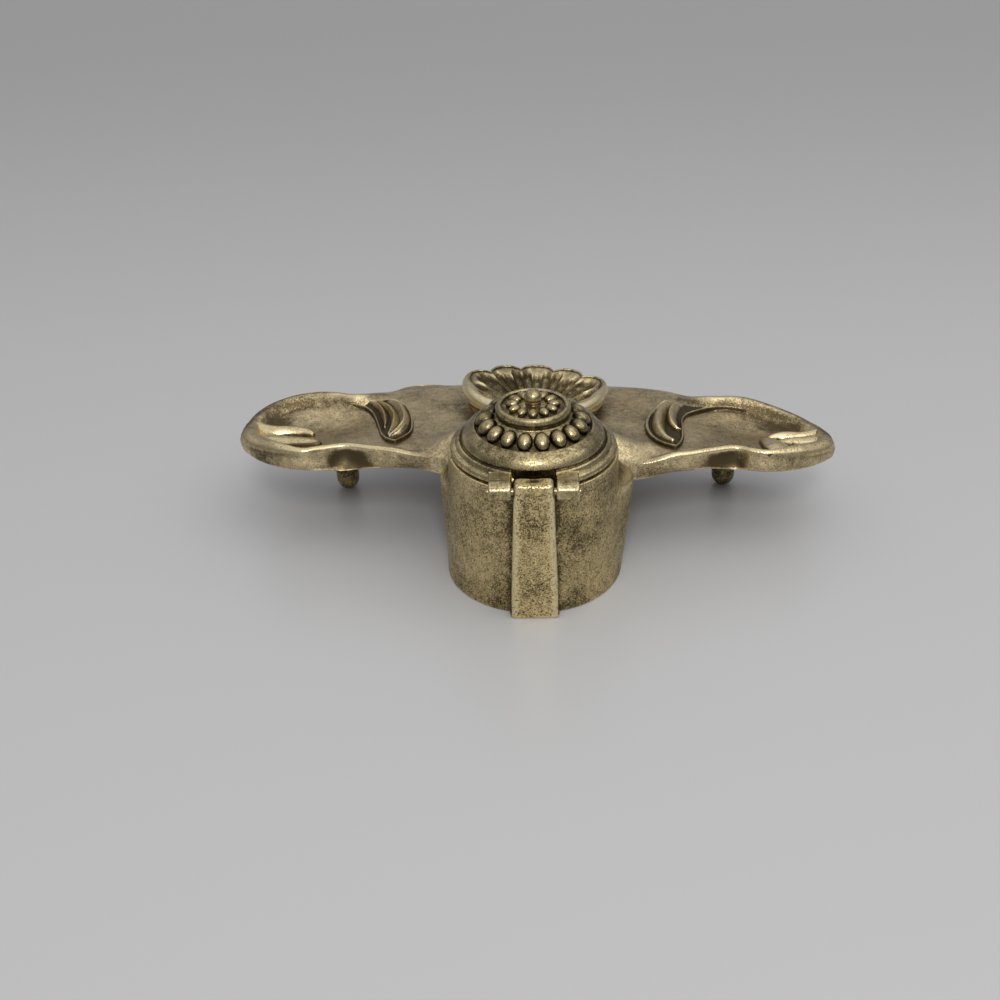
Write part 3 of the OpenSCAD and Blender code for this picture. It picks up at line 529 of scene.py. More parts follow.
# painted shade in the hollows beside the tongues at the wing tips
SHADE_SPOTS = [(-88, 27, 8, 3, 0.6), (90, 20, 6, 3, 0.6)]


def spot(p, at_x, at_y, wide, deep, much):
    """A bell-shaped spot: much at its middle, and about a third of that at its width."""
    return much * np.exp(-(((p[:, 0] - at_x) / wide) ** 2) - ((p[:, 1] - at_y) / deep) ** 2)


def tray_copper(p):
    """Faint red patches: to the right of the palmette and in the dishes."""
    return sum(spot(p, *row) for row in COPPER_SPOTS)


def tray_shade_highlight_and_wear(p):
    """Painted shade lies along the feet of the ornaments, on the inner flank and the crest of the far
    rims, where there is some tarnish too, under the rims at the wing tips, in the hollows beside the
    tongues, round the palmette, over the near apron and most in its bays, in the crease round the well
    and underneath. Where it is below zero the brass is lighter: painted highlights on the apron's
    bulges, lighter patches beside the palmette and in the left dish, and a rubbed bright line along
    the apron's lower edge."""
    g = np.zeros(len(p))
    for side in (-1, 1):
        t = np.linspace(0, 9, 120)
        # painted shade along the feet of both leaves, standing in for the shade of the crease
        for line, shift, much in ((LEAF_IN[side], 0.9, 0.2), (LEAF_OUT[side], 0, 0.12 + 0.1 * side)):
            xy = spline(shares(line, side), t) + [0, shift]
            g = np.maximum(g, much * near_line(p, xy * [side, 1], 1.1))
        rim = spline(shares(FRONT[side], side), np.linspace(1, 8.3, 120))
        # painted shade on the far rim's inner flank, with some tarnish, and on its crest
        g = np.maximum(g, 0.85 * near_line(p, (rim - [0, 6.4]) * [side, 1], 1.7))
        g = np.maximum(g, 0.75 * near_line(p, (rim[:75] - [0, 3.2]) * [side, 1], 3))
    x, y = p[:, 0], p[:, 1]
    under = floor_height(x, y) - p[:, 2]
    for row in BRIGHT_SPOTS:
        g -= spot(p, *row) * (under < 1)
    # painted shade over the whole near apron
    near = (y < 27) & (under > 0.3) & (np.abs(x) > 36)
    g += 0.3 * near
    # deeper painted shade in the apron's two concave bays
    for at, wide, much in ((-66.5, 7.5, 1.2), (68, 7, 1.1)):
        g += much * np.exp(-(((x - at) / wide) ** 2)) * near * smooth((under - 0.3) / 2)
    # painted highlights on the apron's bulges
    for at in (-78, -53, 57, 78):
        g -= 1.4 * np.exp(-(((x - at) / 4.5) ** 2) - ((under - 3) / 2.6) ** 2) * near
    g -= 0.7 * smooth((under - 6.6) / 0.5) * near * (np.abs(x) < 96)
    # painted shade under the rims at the wing tips
    g = np.maximum(g, 0.95 * np.exp(-(((x + 96) / 5.5) ** 4) - ((y - 50.5) / 4.5) ** 2))
    g = np.maximum(g, 0.8 * np.exp(-(((x - 92) / 9) ** 4) - ((y - 47 + 0.25 * (x - 92)) / 4) ** 2))
    for row in SHADE_SPOTS:
        g = np.maximum(g, spot(p, *row))
    # painted shade round the foot of the palmette
    a = np.linspace(0, 2 * np.pi, 150)
    around_shell = np.stack([27 * np.sin(a), SHELL_Y + 12 + 22 * np.cos(a)], 1)
    g = np.maximum(g, 0.5 * near_line(p, around_shell, 4))
    # painted shade in the crease round the well
    g = np.maximum(g, 0.8 * np.exp(-((np.hypot(x, y) - WELL_R) / 1.6) ** 2) * (p[:, 2] > 30))
    # the underside is painted in shade
    inside = (y > BACK_Y + 6) & (y < FRONT_Y - 16) & (np.abs(x) < 100)
    return np.where((under > 1.2) & inside, 0.7, g)


stations = np.linspace(0, 16, 16 * 16 + 1)
halves = np.concatenate([tray_half(-1, stations), tray_half(1, stations[-2::-1])])
n_stations, n_ring = halves.shape[:2]
tray_points = [halves.reshape(-1, 3)]
tray_faces = [grid_faces(n_stations, n_ring, wrap_cols=True)]
count = n_stations * n_ring
# each wing tip is closed by rings that shrink to a domed end, and its hollow by a fan
TIP_DOME = 0.15
dome_angles = np.radians([25, 50, 70, 84])[:, None, None]
face_top = FILLET_STEPS + FACE_STEPS - 1
for first, side in ((0, -1), ((n_stations - 1) * n_ring, 1)):
    ring = halves.reshape(-1, 3)[first:first + n_ring]
    outer, hollow = ring[:TRAY_OUTSIDE], ring[TRAY_OUTSIDE:]
    centre = outer[[0, face_top, -1 - face_top, -1]].mean(0)
    bulge = np.array([side * TIP_DOME, 0, 0])
    rings = centre + (outer - centre) * np.cos(dome_angles) + bulge * np.sin(dome_angles)
    tray_points += [rings.reshape(-1, 3), [centre + bulge], [hollow[[0, 1, -2, -1]].mean(0)]]
    end = count + len(rings) * TRAY_OUTSIDE
    dome = np.concatenate([np.arange(first, first + TRAY_OUTSIDE), np.arange(count, end)])
    cap = grid_faces(len(rings) + 1, TRAY_OUTSIDE, wrap_cols=True)
    cap = np.concatenate([dome[cap], fan_faces(dome[-TRAY_OUTSIDE:], end)[:, ::-1]])
    inner = np.concatenate([fan_faces(np.arange(first + TRAY_OUTSIDE, first + n_ring), end + 1),
                            [[first, first + TRAY_OUTSIDE - 1, first + TRAY_OUTSIDE]],
                            [[first, first + TRAY_OUTSIDE, first + n_ring - 1]]])
    tray_faces += [cap, inner[:, ::-1]] if side > 0 else [cap[:, ::-1], inner]
    count = end + 2
cast_piece("tray_casting", [(np.concatenate(tray_points), np.concatenate(tray_faces))], tray_brass,
           "stand", ["tray_shell"], shade_highlight_and_wear=tray_shade_highlight_and_wear, copper=tray_copper, wear=0.8)

# Ink well
# The well is a drafted cup with a flat bottom, cast in one with the tray. Its outside kept the
# grain of the sand mould. Its rim is turned flat, and notched at the back for the lid's ears.
WELL_FLOOR = 2.6
POT_R = WELL_R - WELL_WALL - 0.5
KNUCKLE_R = 3.3
CORNER = 0.6
NOTCH_R = KNUCKLE_R + CORNER + 0.5
POST_W = 13.0
EAR_W = 7.4
EAR_X = POST_W / 2 + 0.85
AXIS_Y = -(WELL_R + KNUCKLE_R - 1.1)
AXIS_Z = WELL_H + 1.3


def filleted(corners, radii, step=1.0):
    """A line through corners: each is rounded by a curve that leaves the straight its radius before
    the corner and joins the next as far behind it. Straights get points about step apart."""
    c = np.asarray(corners, float)
    s = np.linspace(0, 1, 6)[:, None]
    bits = [c[:1]]
    for k, r in zip(range(1, len(c) - 1), radii):
        p, q = c[k] + unit(c[k - 1] - c[k]) * r, c[k] + unit(c[k + 1] - c[k]) * r
        bits.append((1 - s) ** 2 * p + 2 * s * (1 - s) * c[k] + s * s * q)
    line = np.concatenate(bits + [c[-1:]])
    count = np.maximum(1, np.ceil(np.linalg.norm(np.diff(line, axis=0), axis=1) / step)).astype(int)
    at = np.concatenate([k + np.arange(m) / m for k, m in enumerate(count)] + [[len(line) - 1]])
    return np.stack([np.interp(at, np.arange(len(line)), line[:, k]) for k in (0, 1)], 1)


def turned(profile, angles):
    """A profile of radius and height pairs, turned about the Z axis: one row of points an angle."""
    a = np.asarray(angles)[:, None]
    r, z = profile[None, :, 0], profile[None, :, 1]
    return np.stack([r * np.cos(a), r * np.sin(a), z + 0 * a], -1)


def turned_shell(points):
    """Points and faces of a turned shape whose profile starts and ends on the axis or meets itself."""
    return points.reshape(-1, 3), grid_faces(*points.shape[:2], wrap_rows=True)


# all round, and finer at the back, where the hinge is
round_angles = np.radians(np.unique(np.round(np.concatenate([
    np.arange(0, 360, 1.25), np.linspace(-125, -55, 281) % 360]), 3)))
bore_r = POT_R + 0.5
well_profile = filleted(
    [(0, 0), (WELL_FOOT_R, 0), (WELL_R, WELL_H), (bore_r, WELL_H), (bore_r, WELL_FLOOR), (0, WELL_FLOOR)],
    [0.7, 0.7, 0.5, 1.2])
well_points = turned(well_profile, round_angles)


def web(p):
    """Where the wall runs out into the tray's skirts: the radius grows along an S-curve from the
    back of the well to the skirt's edge, whose distance from the axis rises with height."""
    x, y, z = p[..., 0], p[..., 1], p[..., 2]
    side = np.where(x > 0, 1, -1)
    phi = np.degrees(np.arctan2(y, np.abs(x)))
    r = np.hypot(x, y)
    up = np.clip(z / 30, 0, 1)
    left, right = (mix(SKIRT_LOW[0], SKIRT_TOP[k][0], up ** (1 / SKIRT_CURVE[k])) for k in (-1, 1))
    edge = np.where(side > 0, right, left) / math.cos(math.radians(14.7)) - 0.5
    g = smooth((phi + np.where(side > 0, 26, 14)) / np.where(side > 0, 40, 28))
    g = g * (1 - smooth((phi - 16) / 16))
    g = g * (1 - smooth((z - 33) / 6)) * (r > POT_R + 1.2)
    far = np.where(r > 1, mix(r, np.maximum(edge, r), g) / np.maximum(r, 1), 1)
    return p * np.stack([far, far, np.ones_like(far)], -1)


well_points = web(well_points)
in_notch = (np.abs(well_points[..., 0]) > EAR_X - 0.5) & (np.abs(well_points[..., 0]) < EAR_X + EAR_W + 0.5)
drop = NOTCH_R**2 - (well_points[..., 1] - AXIS_Y) ** 2
in_notch &= (drop > 0) & (well_points[..., 1] < 0)
notch_z = AXIS_Z - np.sqrt(np.maximum(0, drop))
well_points[..., 2] = np.where(in_notch, np.minimum(well_points[..., 2], notch_z), well_points[..., 2])


def well_painted_shade(p):
    """Painted shade lies inside the well, beside the hinge post, and a little at the foot."""
    inside = np.hypot(p[:, 0], p[:, 1]) < POT_R + 0.8
    beside = np.exp(-((np.maximum(0, np.abs(p[:, 0]) - 7.2) / 1.6) ** 2)) * (p[:, 1] < 0)
    return np.where(inside & (p[:, 2] > 0.5), 0.6, 0.75 * beside + 0.25 * np.exp(-((p[:, 2] / 5) ** 2)))


well_brass = old_brass("well_brass", (0.70, 0.56, 0.29), (0.07, 0.052, 0.024), RUBBED,
                       pitting=1.15, bump=0.8)
cast_piece("ink_well", [turned_shell(well_points)], well_brass, "stand", ["well_cup"],
           shade_highlight_and_wear=well_painted_shade)

# Hinge post
# A bar cast on the back of the well carries the hinge. It narrows from the desk to a rounded head,
# which is drilled for the pin. Its edges are filed round and rubbed bright.
POST_FOOT_W = 16.4
POST_OUT = 2.9
HEAD_R = KNUCKLE_R - 0.2


def slab(outline, x0, x1, rounding, widen=None):
    """A bar of constant side view: the closed outline of y and z pairs is repeated from x0 to x1, and
    near each face it shrinks inwards on a quarter circle. widen(z) scales it sideways."""
    ahead, behind = np.roll(outline, -1, 0), np.roll(outline, 1, 0)
    along = unit(ahead - behind)
    normal = np.stack([along[:, 1], -along[:, 0]], 1)
    area = (outline[:, 0] * ahead[:, 1] - ahead[:, 0] * outline[:, 1]).sum()
    normal = normal * np.sign(area)
    phi = np.radians([0, 22, 45, 68])
    dx = rounding * (1 - np.cos(phi))
    inset = rounding * (1 - np.sin(phi))
    mid = np.linspace(x0 + rounding, x1 - rounding, 15)
    x = np.concatenate([x0 + dx, mid, (x1 - dx)[::-1]])[:, None]
    shrink = np.concatenate([inset, 0 * mid, inset[::-1]])[:, None]
    y, z = (outline[None, :, k] - normal[None, :, k] * shrink for k in (0, 1))
    points = np.stack([x * (1 if widen is None else widen(z)) + 0 * y, y, z], -1)
    n, m = points.shape[:2]
    ends = np.stack([points[0].mean(0), points[-1].mean(0)])
    faces = np.concatenate([
        grid_faces(n, m, wrap_cols=True), fan_faces(np.arange(m), n * m),
        fan_faces(np.arange((n - 1) * m, n * m), n * m + 1)[:, ::-1]])
    return np.concatenate([points.reshape(-1, 3), ends]), faces


head_back, head_front, head_top = AXIS_Y - HEAD_R, AXIS_Y + HEAD_R + 1.2, AXIS_Z + HEAD_R + 0.5
post_side = filleted([
    (-WELL_FOOT_R + 1.5, 0), (-WELL_FOOT_R - POST_OUT, 0), (head_back, AXIS_Z),
    (head_back + 0.1, head_top - 0.7), (head_back + 0.9, head_top), (head_front - 1.6, head_top),
    (head_front, head_top - 2.2), (head_front, AXIS_Z - 1.3), (-WELL_R + 0.9, AXIS_Z - 2),
    (-WELL_FOOT_R + 1.5, 0.2)], [0.6, 2, 0.6, 0.6, 1, 1, 0.6, 0.6], 0.8)


def post_widen(z):
    """The post's width at height z, as a share of its head's: it spreads evenly to the foot, and a
    little more just above the desk."""
    up = np.clip(z / (AXIS_Z + KNUCKLE_R), 0, 1)
    return mix(POST_FOOT_W, POST_W, up) / POST_W + 0.035 * np.exp(-z / 1.2)


post_points, post_faces = slab(post_side, -POST_W / 2, POST_W / 2, 1.5, post_widen)


def dimple(p):
    """The shallow dimple that the founder's sprue left in the head: one at its middle."""
    return spot(p, 0, AXIS_Y + 1.2, 2.2, 1.4, 1.0) * (p[:, 2] > AXIS_Z)


post_points[:, 2] -= 0.8 * dimple(post_points)
post_brass = old_brass("post_brass", (0.76, 0.61, 0.31), (0.07, 0.05, 0.022), RUBBED, pitting=1.3, bump=0.8)
# the dimple in the head is painted in shade
cast_piece("hinge_post_bar", [(post_points, post_faces)], post_brass, "stand", ["hinge_post"],
           rough_cast=0.04, shade_highlight_and_wear=lambda p: 0.9 * dimple(p))

# Peg feet
# Two tapered pegs cast under the wings keep the tray level. Their ends are domed by filing.
PEG_R = 4.8
PEG_SHARE = 0.67
PEG_Y = 57.0
for side, name in ((-1, "left"), (1, "right")):
    x = side * PEG_SHARE * REACH[side]
    top_z = float(floor_height(x, PEG_Y)) - SKIN + 1
    end_r = 0.9 * PEG_R
    a, up = np.radians(np.linspace(-90, 0, 14)), np.linspace(0, 1, 24)[1:]
    peg_profile = np.concatenate([
        np.stack([end_r * np.cos(a), end_r * (1 + np.sin(a))], 1),
        np.stack([mix(end_r, PEG_R, up**1.2), mix(end_r, top_z, up)], 1),
        [(PEG_R + 0.5, top_z), (0, top_z)]])
    peg_points = turned(peg_profile, np.radians(np.arange(0, 360, 5))) + np.array([x, PEG_Y, 0])
    # the pegs are painted in shade, darkest at their tops under the wings
    cast_piece(f"{name}_peg", [turned_shell(peg_points)], well_brass, "stand", [f"{name}_peg_foot"],
               shade_highlight_and_wear=lambda p: 0.75 + 0.5 * smooth((p[:, 2] - 6) / 12))

# Shell ornament
# A palmette cast on the front of the tray: five lobes of three flutes between thin ribs, and a
# thick roll along the side nearest to the well. It is a traditional ornament of the time.
SHELL_R = 34.0
SHELL_RISE = 7.25
SHELL_TURN = 3.5
SHELL_LEAN = 3.0
SHELL_ROLL = 2.7
FLUTE_DEPTH = 1.6
SHELL_OUTLINE = np.array([
    (0, 1), (4, .995), (8, .96), (11, .905), (12.5, .875), (14, .915), (18, .985), (23, 1.015),
    (28, 1), (33, .945), (36, .895), (38, .955), (42, 1.01), (47, 1.01), (53, .975), (62, .915),
    (75, .81), (90, .72), (108, .62), (130, .515), (155, .455), (180, .44),
])
LOBE_EDGES = np.array([-80, -36, -12.5, 12.5, 36, 80])
LOBE_STEPS = 54
lobe, along_lobe = np.divmod(np.arange(5 * LOBE_STEPS), LOBE_STEPS)
in_lobe, plain_side = along_lobe / LOBE_STEPS, np.arange(80, 280, 2.5)
shell_a = np.concatenate([mix(LOBE_EDGES[lobe], LOBE_EDGES[lobe + 1], in_lobe), plain_side])
shell_w = np.concatenate([in_lobe, 0 * plain_side])
folded = np.where(shell_a > 180, 360 - shell_a, np.abs(shell_a))
edge_r = SHELL_R * np.interp(folded, SHELL_OUTLINE[:, 0], SHELL_OUTLINE[:, 1])
roll = SHELL_ROLL * smooth((folded - 45) / 30)


def shell_height(w, q):
    """The bowl of the shell rises outwards. Across a lobe, three flutes with sharp ribs between them
    are cut into it; each ends in a round arch before the edge, the middle one first."""
    part = np.abs((3 * w) % 1 - 0.5) * 2
    end = np.where((w > 1 / 3) & (w < 2 / 3), 0.80, 0.9) - 0.1 * part**3
    fade = smooth((q - 0.1) / 0.25) * (1 - smooth((q - end + 0.06) / 0.12))
    flute = np.abs(np.sin(3 * np.pi * w)) ** 0.38
    return SHELL_RISE * (0.42 + 0.58 * q**1.5) - FLUTE_DEPTH * fade * flute


def shell_xy(q):
    """Points at the share q of the way from the middle of the shell to its edge."""
    t = np.radians(shell_a + SHELL_TURN)[:, None]
    return edge_r[:, None] * q * np.sin(t), SHELL_Y + edge_r[:, None] * q * np.cos(t)


base_x, base_y = shell_xy(np.array([[0.9]]))
shell_base = FLOOR_Z - FLOOR_FALL * (base_y - BACK_Y) / DEPTH - math.tan(math.radians(SHELL_LEAN)) * base_x
edge_w = 1.2 + 1.8 * roll
r_in = (1 - edge_w / edge_r)[:, None]
q_bowl = np.linspace(0.03, 1, 56)[None, :] * r_in
x, y = shell_xy(q_bowl)
bowl = np.stack([x, y, shell_base + shell_height(shell_w[:, None], q_bowl)], -1)
z_edge = shell_base + shell_height(0, 1.0)
beta = np.radians(np.linspace(155, -60, 22))[None, :]
half_w = edge_w[:, None] / 2
half_h = (0.5 + 0.87 * roll)[:, None]
q_roll = 1 - (half_w - half_w * np.cos(beta)) / edge_r[:, None]
x, y = shell_xy(q_roll)
rolled = np.stack([x, y, z_edge + half_h * (np.sin(beta) - 0.35)], -1)
q_wall = mix(q_roll[:, -1:], r_in + (1 - r_in) * 0.3, np.linspace(0.1, 1, 9)[None, :])
x, y = shell_xy(q_wall)
wall_z = mix(rolled[:, -1:, 2], floor_height(x, y) - 1, np.linspace(0.1, 1, 9)[None, :] ** 0.8)
x0, y0 = shell_xy(np.array([[0.55]]))
shell_grid = np.concatenate([
    bowl, rolled, np.stack([x, y, wall_z], -1), np.stack([x0, y0, floor_height(x0, y0) - 1], -1)], 1)
n, m = shell_grid.shape[:2]
shell_points = np.concatenate([shell_grid.reshape(-1, 3), [
    [0, SHELL_Y, float(shell_base.mean()) + SHELL_RISE * 0.42],
    [0, SHELL_Y, float(floor_height(0, SHELL_Y)) - 1]]])
shell_faces = np.concatenate([
    grid_faces(n, m, wrap_rows=True), fan_faces(np.arange(n) * m, n * m)[:, ::-1],
    fan_faces(np.arange(n) * m + m - 1, n * m + 1)])


def shell_painted_shade(p):
    """Painted shade lies on the walls under the roll and on the flutes near the middle; the whole bowl is
    painted a little darker.
    """
    low = 1 - smooth((p[:, 2] - floor_height(p[:, 0], p[:, 1])) / 2.2)
    middle = np.exp(-(((p[:, 0]) ** 2 + (p[:, 1] - SHELL_Y) ** 2) / 36))
    bowl = 0.3 * (1 - smooth((np.hypot(p[:, 0], p[:, 1] - SHELL_Y) - 27) / 4))
    return np.maximum(0.9 * low, np.maximum(0.55 * middle, bowl))


shell_brass = old_brass("shell_brass", (0.62, 0.51, 0.29), (0.07, 0.052, 0.027), RUBBED,
                        pitting=0.6, bump=0.4)
cast_piece("shell_palmette", [(shell_points, shell_faces)], shell_brass, "stand", ["shell_ornament"],
           rough_cast=0.03, shade_highlight_and_wear=shell_painted_shade, wear=1.8)

# Leaf scrolls
# From the front rim of each wing a ribbed leaf grows out and hooks round to the back. It is cast
# # on the tray, with a thin raised border, a valley inside it painted in shade, and rounded ribs between.
BORDER_H = 1.5

# the crests of the ribs in mm, as they run from the rim to the leaf's end, and for each its height
# and the widths of its flanks, first the one towards the dish
RIBS = {
    -1: [([(-61.6, 59.6), (-58.6, 55), (-55.9, 48.5), (-54.4, 40.5), (-54.2, 35.5)], 2.5, 0.8, 0.9),
         ([(-58.9, 60), (-54.7, 53.1), (-51.9, 45.1), (-51.1, 38.4), (-51.6, 31.8), (-52.3, 27.8)],
          3.0, 0.8, 1.5),
         ([(-55.8, 61), (-51.1, 54.5), (-48.2, 45.7), (-47.3, 37.7), (-48.9, 32.2), (-51.7, 26.6)],
          3.2, 1.3, 1.9),
         ([(-46.6, 38), (-46.8, 33), (-48.2, 29), (-50.8, 26.2)], 2.4, 0.6, 1.0)],
    1: [([(57.4, 58.7), (53.1, 54.2), (50.7, 46.5), (50.4, 38.6), (51.5, 34.9), (53, 34)], 2.6, 2.3, 0.7),
        ([(52.8, 59.5), (48.9, 52), (46.3, 42.3), (45.4, 32.6), (46.9, 25.8), (49.6, 22.4)], 3.3, 2.0, 1.9)],
}


def ridge(x, y, line, height, near, far, power):
    """A ridge along a line: from its crest a bell-shaped flank falls to each side, near wide on the
    right of the line's direction and far wide on its left. A higher power gives a rounder crest. It
    grows out of the rim and tapers at its end."""
    path = spline(line, np.linspace(0, len(line) - 1, 70))
    off, share, left = off_segments(x, y, path)
    k = off.argmin(-1)[..., None]
    off, share, left = (np.take_along_axis(v, k, -1)[..., 0] for v in (off, share, left))
    along = (k[..., 0] + share) / (len(path) - 1)
    width = np.where(left < 0, near, far) * (1 - 0.45 * smooth((along - 0.55) / 0.45))
    taper = (0.35 + 0.65 * smooth(along / 0.3)) * (1 - 0.55 * smooth((along - 0.5) / 0.5))
    return height * taper * np.exp(-((off / width) ** power))


def leaf_height(x, y, u, v, width, side):
    """A low dome, with a thin border at both edges, a valley inside each, and the ribs on top. The
    border away from the dish starts where the leaf has left the rim."""
    inner, outer = v * width, (1 - v) * width
    grow = smooth((u - 0.02) / 0.2)
    broad = 0.95 if side > 0 else 0.6
    roundness = 2.6 if side > 0 else 1.5
    border = BORDER_H * np.exp(-(((inner - 0.8) / 0.6) ** 2)) * smooth(u / 0.05)
    off_rim = smooth((u - 0.3) / 0.2)
    far_border = BORDER_H * np.exp(-np.abs((outer - 0.2 - broad) / broad) ** 3) * off_rim
    dome = 0.5 * grow * smooth((np.minimum(inner, outer) - 1.2) / 2.5)
    clear = smooth((inner - 0.9) / 0.8) * smooth((outer - 0.3) / mix(3.2, 1.4, off_rim))
    ribs = 0
    for line, height, near, far in RIBS[side]:
        widths = (near, far) if side < 0 else (far, near)
        ribs = np.maximum(ribs, ridge(x, y, line, height, *widths, roundness))
    return (np.maximum(border, far_border) + dome + ribs * clear) * smooth(np.minimum(inner, outer) / 0.3)


def strip_shell(top, bottom):
    """A closed strip: rows of points across its top, joined under it, with a fan on each end."""
    ring = np.concatenate([top, bottom], 1)
    n, m = ring.shape[:2]
    ends = np.stack([ring[0].mean(0), ring[-1].mean(0)])
    faces = np.concatenate([
        grid_faces(n, m, wrap_cols=True), fan_faces(np.arange(m), n * m),
        fan_faces(np.arange((n - 1) * m, n * m), n * m + 1)[:, ::-1]])
    return np.concatenate([ring.reshape(-1, 3), ends]), faces


def leaf_shade_and_wear(p):
    """The valleys and the foot are painted in shade: whatever is less than about 1.2 mm above the tray.
    What stands higher is rubbed clean."""
    above = p[:, 2] - floor_height(p[:, 0], p[:, 1])
    return 1.15 * (1 - smooth((above - 0.8) / 0.7)) - 0.3 * smooth((above - 1.3) / 0.5)


for side, name in ((-1, "left"), (1, "right")):
    u = np.linspace(0, 0.985, 200)[:, None]
    v = np.linspace(0, 1, 91)[None, :]
    inner, outer = (spline(shares(line[side], side), u[:, 0] * 9)[:, None, :]
                    for line in (LEAF_IN, LEAF_OUT))
    xy = mix(inner, outer, v[..., None])
    x, y = side * xy[..., 0], xy[..., 1]
    width = np.linalg.norm(outer - inner, axis=-1)
    z = floor_height(x, y) + leaf_height(x, y, u, v, width, side)
    z -= 0.25 * (1 - smooth(np.minimum(v, 1 - v) / 0.03))
    low = mix(inner, outer, np.array([0.97, 0.66, 0.33, 0.03])[None, :, None]) * [side, 1]
    under = np.stack([low[..., 0], low[..., 1], floor_height(low[..., 0], low[..., 1]) - 1], -1)
    cast_piece(f"{name}_leaf", [strip_shell(np.stack([x, y, z], -1), under)], shell_brass, "stand",
               [f"{name}_leaf_scroll"], rough_cast=0.03, shade_highlight_and_wear=leaf_shade_and_wear)

# Rim curls
# At each wing's tip the rim turns in and ends as tapering tongues that lie on the dish.
# They were modelled in wax with the rim and cast with it.

# for each tongue its line, in shares, the half widths and heights at its root and its end, and the
# share of its length where it starts to taper
CURLS = {
    -1: [([(.965, .51), (.953, .455), (.93, .418), (.884, .396), (.835, .4), (.785, .385), (.75, .35)],
          3.9, 2.9, 3.6, 3.1, 0.55),
         ([(.93, .35), (.884, .262), (.837, .215), (.791, .19), (.744, .165), (.707, .14)],
          4.8, 3.4, 3.6, 2.7, 0.4)],
    1: [([(.965, .42), (.955, .375), (.937, .348), (.896, .322), (.85, .332), (.815, .325), (.785, .3)],
         3.6, 2.8, 3.6, 3.2, 0.6),
        ([(.96, .33), (.93, .28), (.89, .255), (.85, .25), (.815, .22)], 4.2, 3.9, 2.9, 2.7, 0.5),
        ([(.81, .02), (.797, .09), (.785, .16), (.772, .22), (.762, .262)], 6.5, 3.2, 2.8, 3.3, 0.3)],
}
for side, name in ((-1, "left"), (1, "right")):
    shells = []
    for line, w0, w1, h0, h1, blunt in CURLS[side]:
        path = shares(line, side)
        u = np.linspace(0, 1, 90)
        p, d = spline(path, u * (len(line) - 1)), tangent(path, u * (len(line) - 1))
        across = np.stack([-d[:, 1], d[:, 0]], 1)
        end = np.clip((u - blunt) / (1 - blunt), 0, 1)
        w = (mix(w0, w1, u) * np.sqrt(1 - 0.97 * end**2))[:, None]
        h = (mix(h0, h1, u) * smooth((u + 0.15) / 0.4) * np.sqrt(1 - 0.9 * end**2))[:, None]
        a = np.radians(np.linspace(0, 180, 37))[None, :]
        off = -w * np.cos(a)
        x, y = side * (p[:, :1] + across[:, :1] * off), p[:, 1:] + across[:, 1:] * off
        upper = np.stack([x, y, floor_height(x, y) + h * np.sin(a) ** 1.3], -1)
        off = w * np.array([[0.9, 0.3, -0.3, -0.9]])
        x, y = side * (p[:, :1] + across[:, :1] * off), p[:, 1:] + across[:, 1:] * off
        shells.append(strip_shell(upper, np.stack([x, y, floor_height(x, y) - 1], -1)))
    # the tongues are painted in shade where they are low on the dish, and rubbed clean where high
    cast_piece(f"{name}_curl", shells, tray_brass, "stand", [f"{name}_rim_curl"],
               rough_cast=0.03, shade_highlight_and_wear=leaf_shade_and_wear)

# Glass ink pot
# A pressed glass liner holds the ink. It has a thick base and a rounded lip, and lifts out.
POT_H = 39.0
POT_WALL = 3.6
pot_in = POT_R - POT_WALL
a = np.radians(np.linspace(0, 180, 15))
lip_r = POT_WALL / 2
c = np.radians(np.linspace(0, 90, 14))
pot_profile = np.concatenate([
    filleted([(0, 0), (POT_R, 0), (POT_R, POT_H - lip_r)], [1.5], 2),
    np.stack([POT_R - lip_r + lip_r * np.cos(a), POT_H - lip_r + lip_r * np.sin(a)], 1)[1:],
    np.stack([pot_in - 5 + 5 * np.cos(c), POT_WALL + 6 - 5 * np.sin(c)], 1), [(0, POT_WALL + 1)]])
pot_points = turned(pot_profile + np.array([0, WELL_FLOOR]), np.radians(np.arange(0, 360, 2.5)))
glass = bpy.data.materials.new("pot_glass_clear")
glass.use_nodes = True
tree = glass.node_tree
tree.nodes.clear()
ripple = put(tree, "ShaderNodeTexNoise", {
    "Vector": put(tree, "ShaderNodeTexCoord").outputs["Object"], "Scale": 140.0, "Detail": 2.0})
wave = put(tree, "ShaderNodeBump", {"Strength": 0.15, "Distance": 0.4 * MM, "Height": ripple.outputs[0]})
clear = put(tree, "ShaderNodeBsdfPrincipled", {
    "Base Color": (0.93, 0.97, 0.96, 1), "Roughness": 0.03, "IOR": 1.5, "Transmission Weight": 1.0,
    "Normal": wave.outputs["Normal"]})
put(tree, "ShaderNodeOutputMaterial", {"Surface": clear.outputs[0]})
cast_piece("glass_pot", [turned_shell(pot_points)], glass, "stand", ["ink_pot"], rough_cast=0.02)

# Hinge pin
# A short length of drawn brass rod, driven through both ears and the post and filed flush.
pin_brass = old_brass("pin_brass", (0.52, 0.45, 0.28), (0.16, 0.13, 0.08), RUBBED,
                      pitting=0.3, clouds=0.5, bump=0.15, polish=0.05, worn=False)
for slot_of_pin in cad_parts["hinge_pin"].material_slots:
    slot_of_pin.material = pin_brass

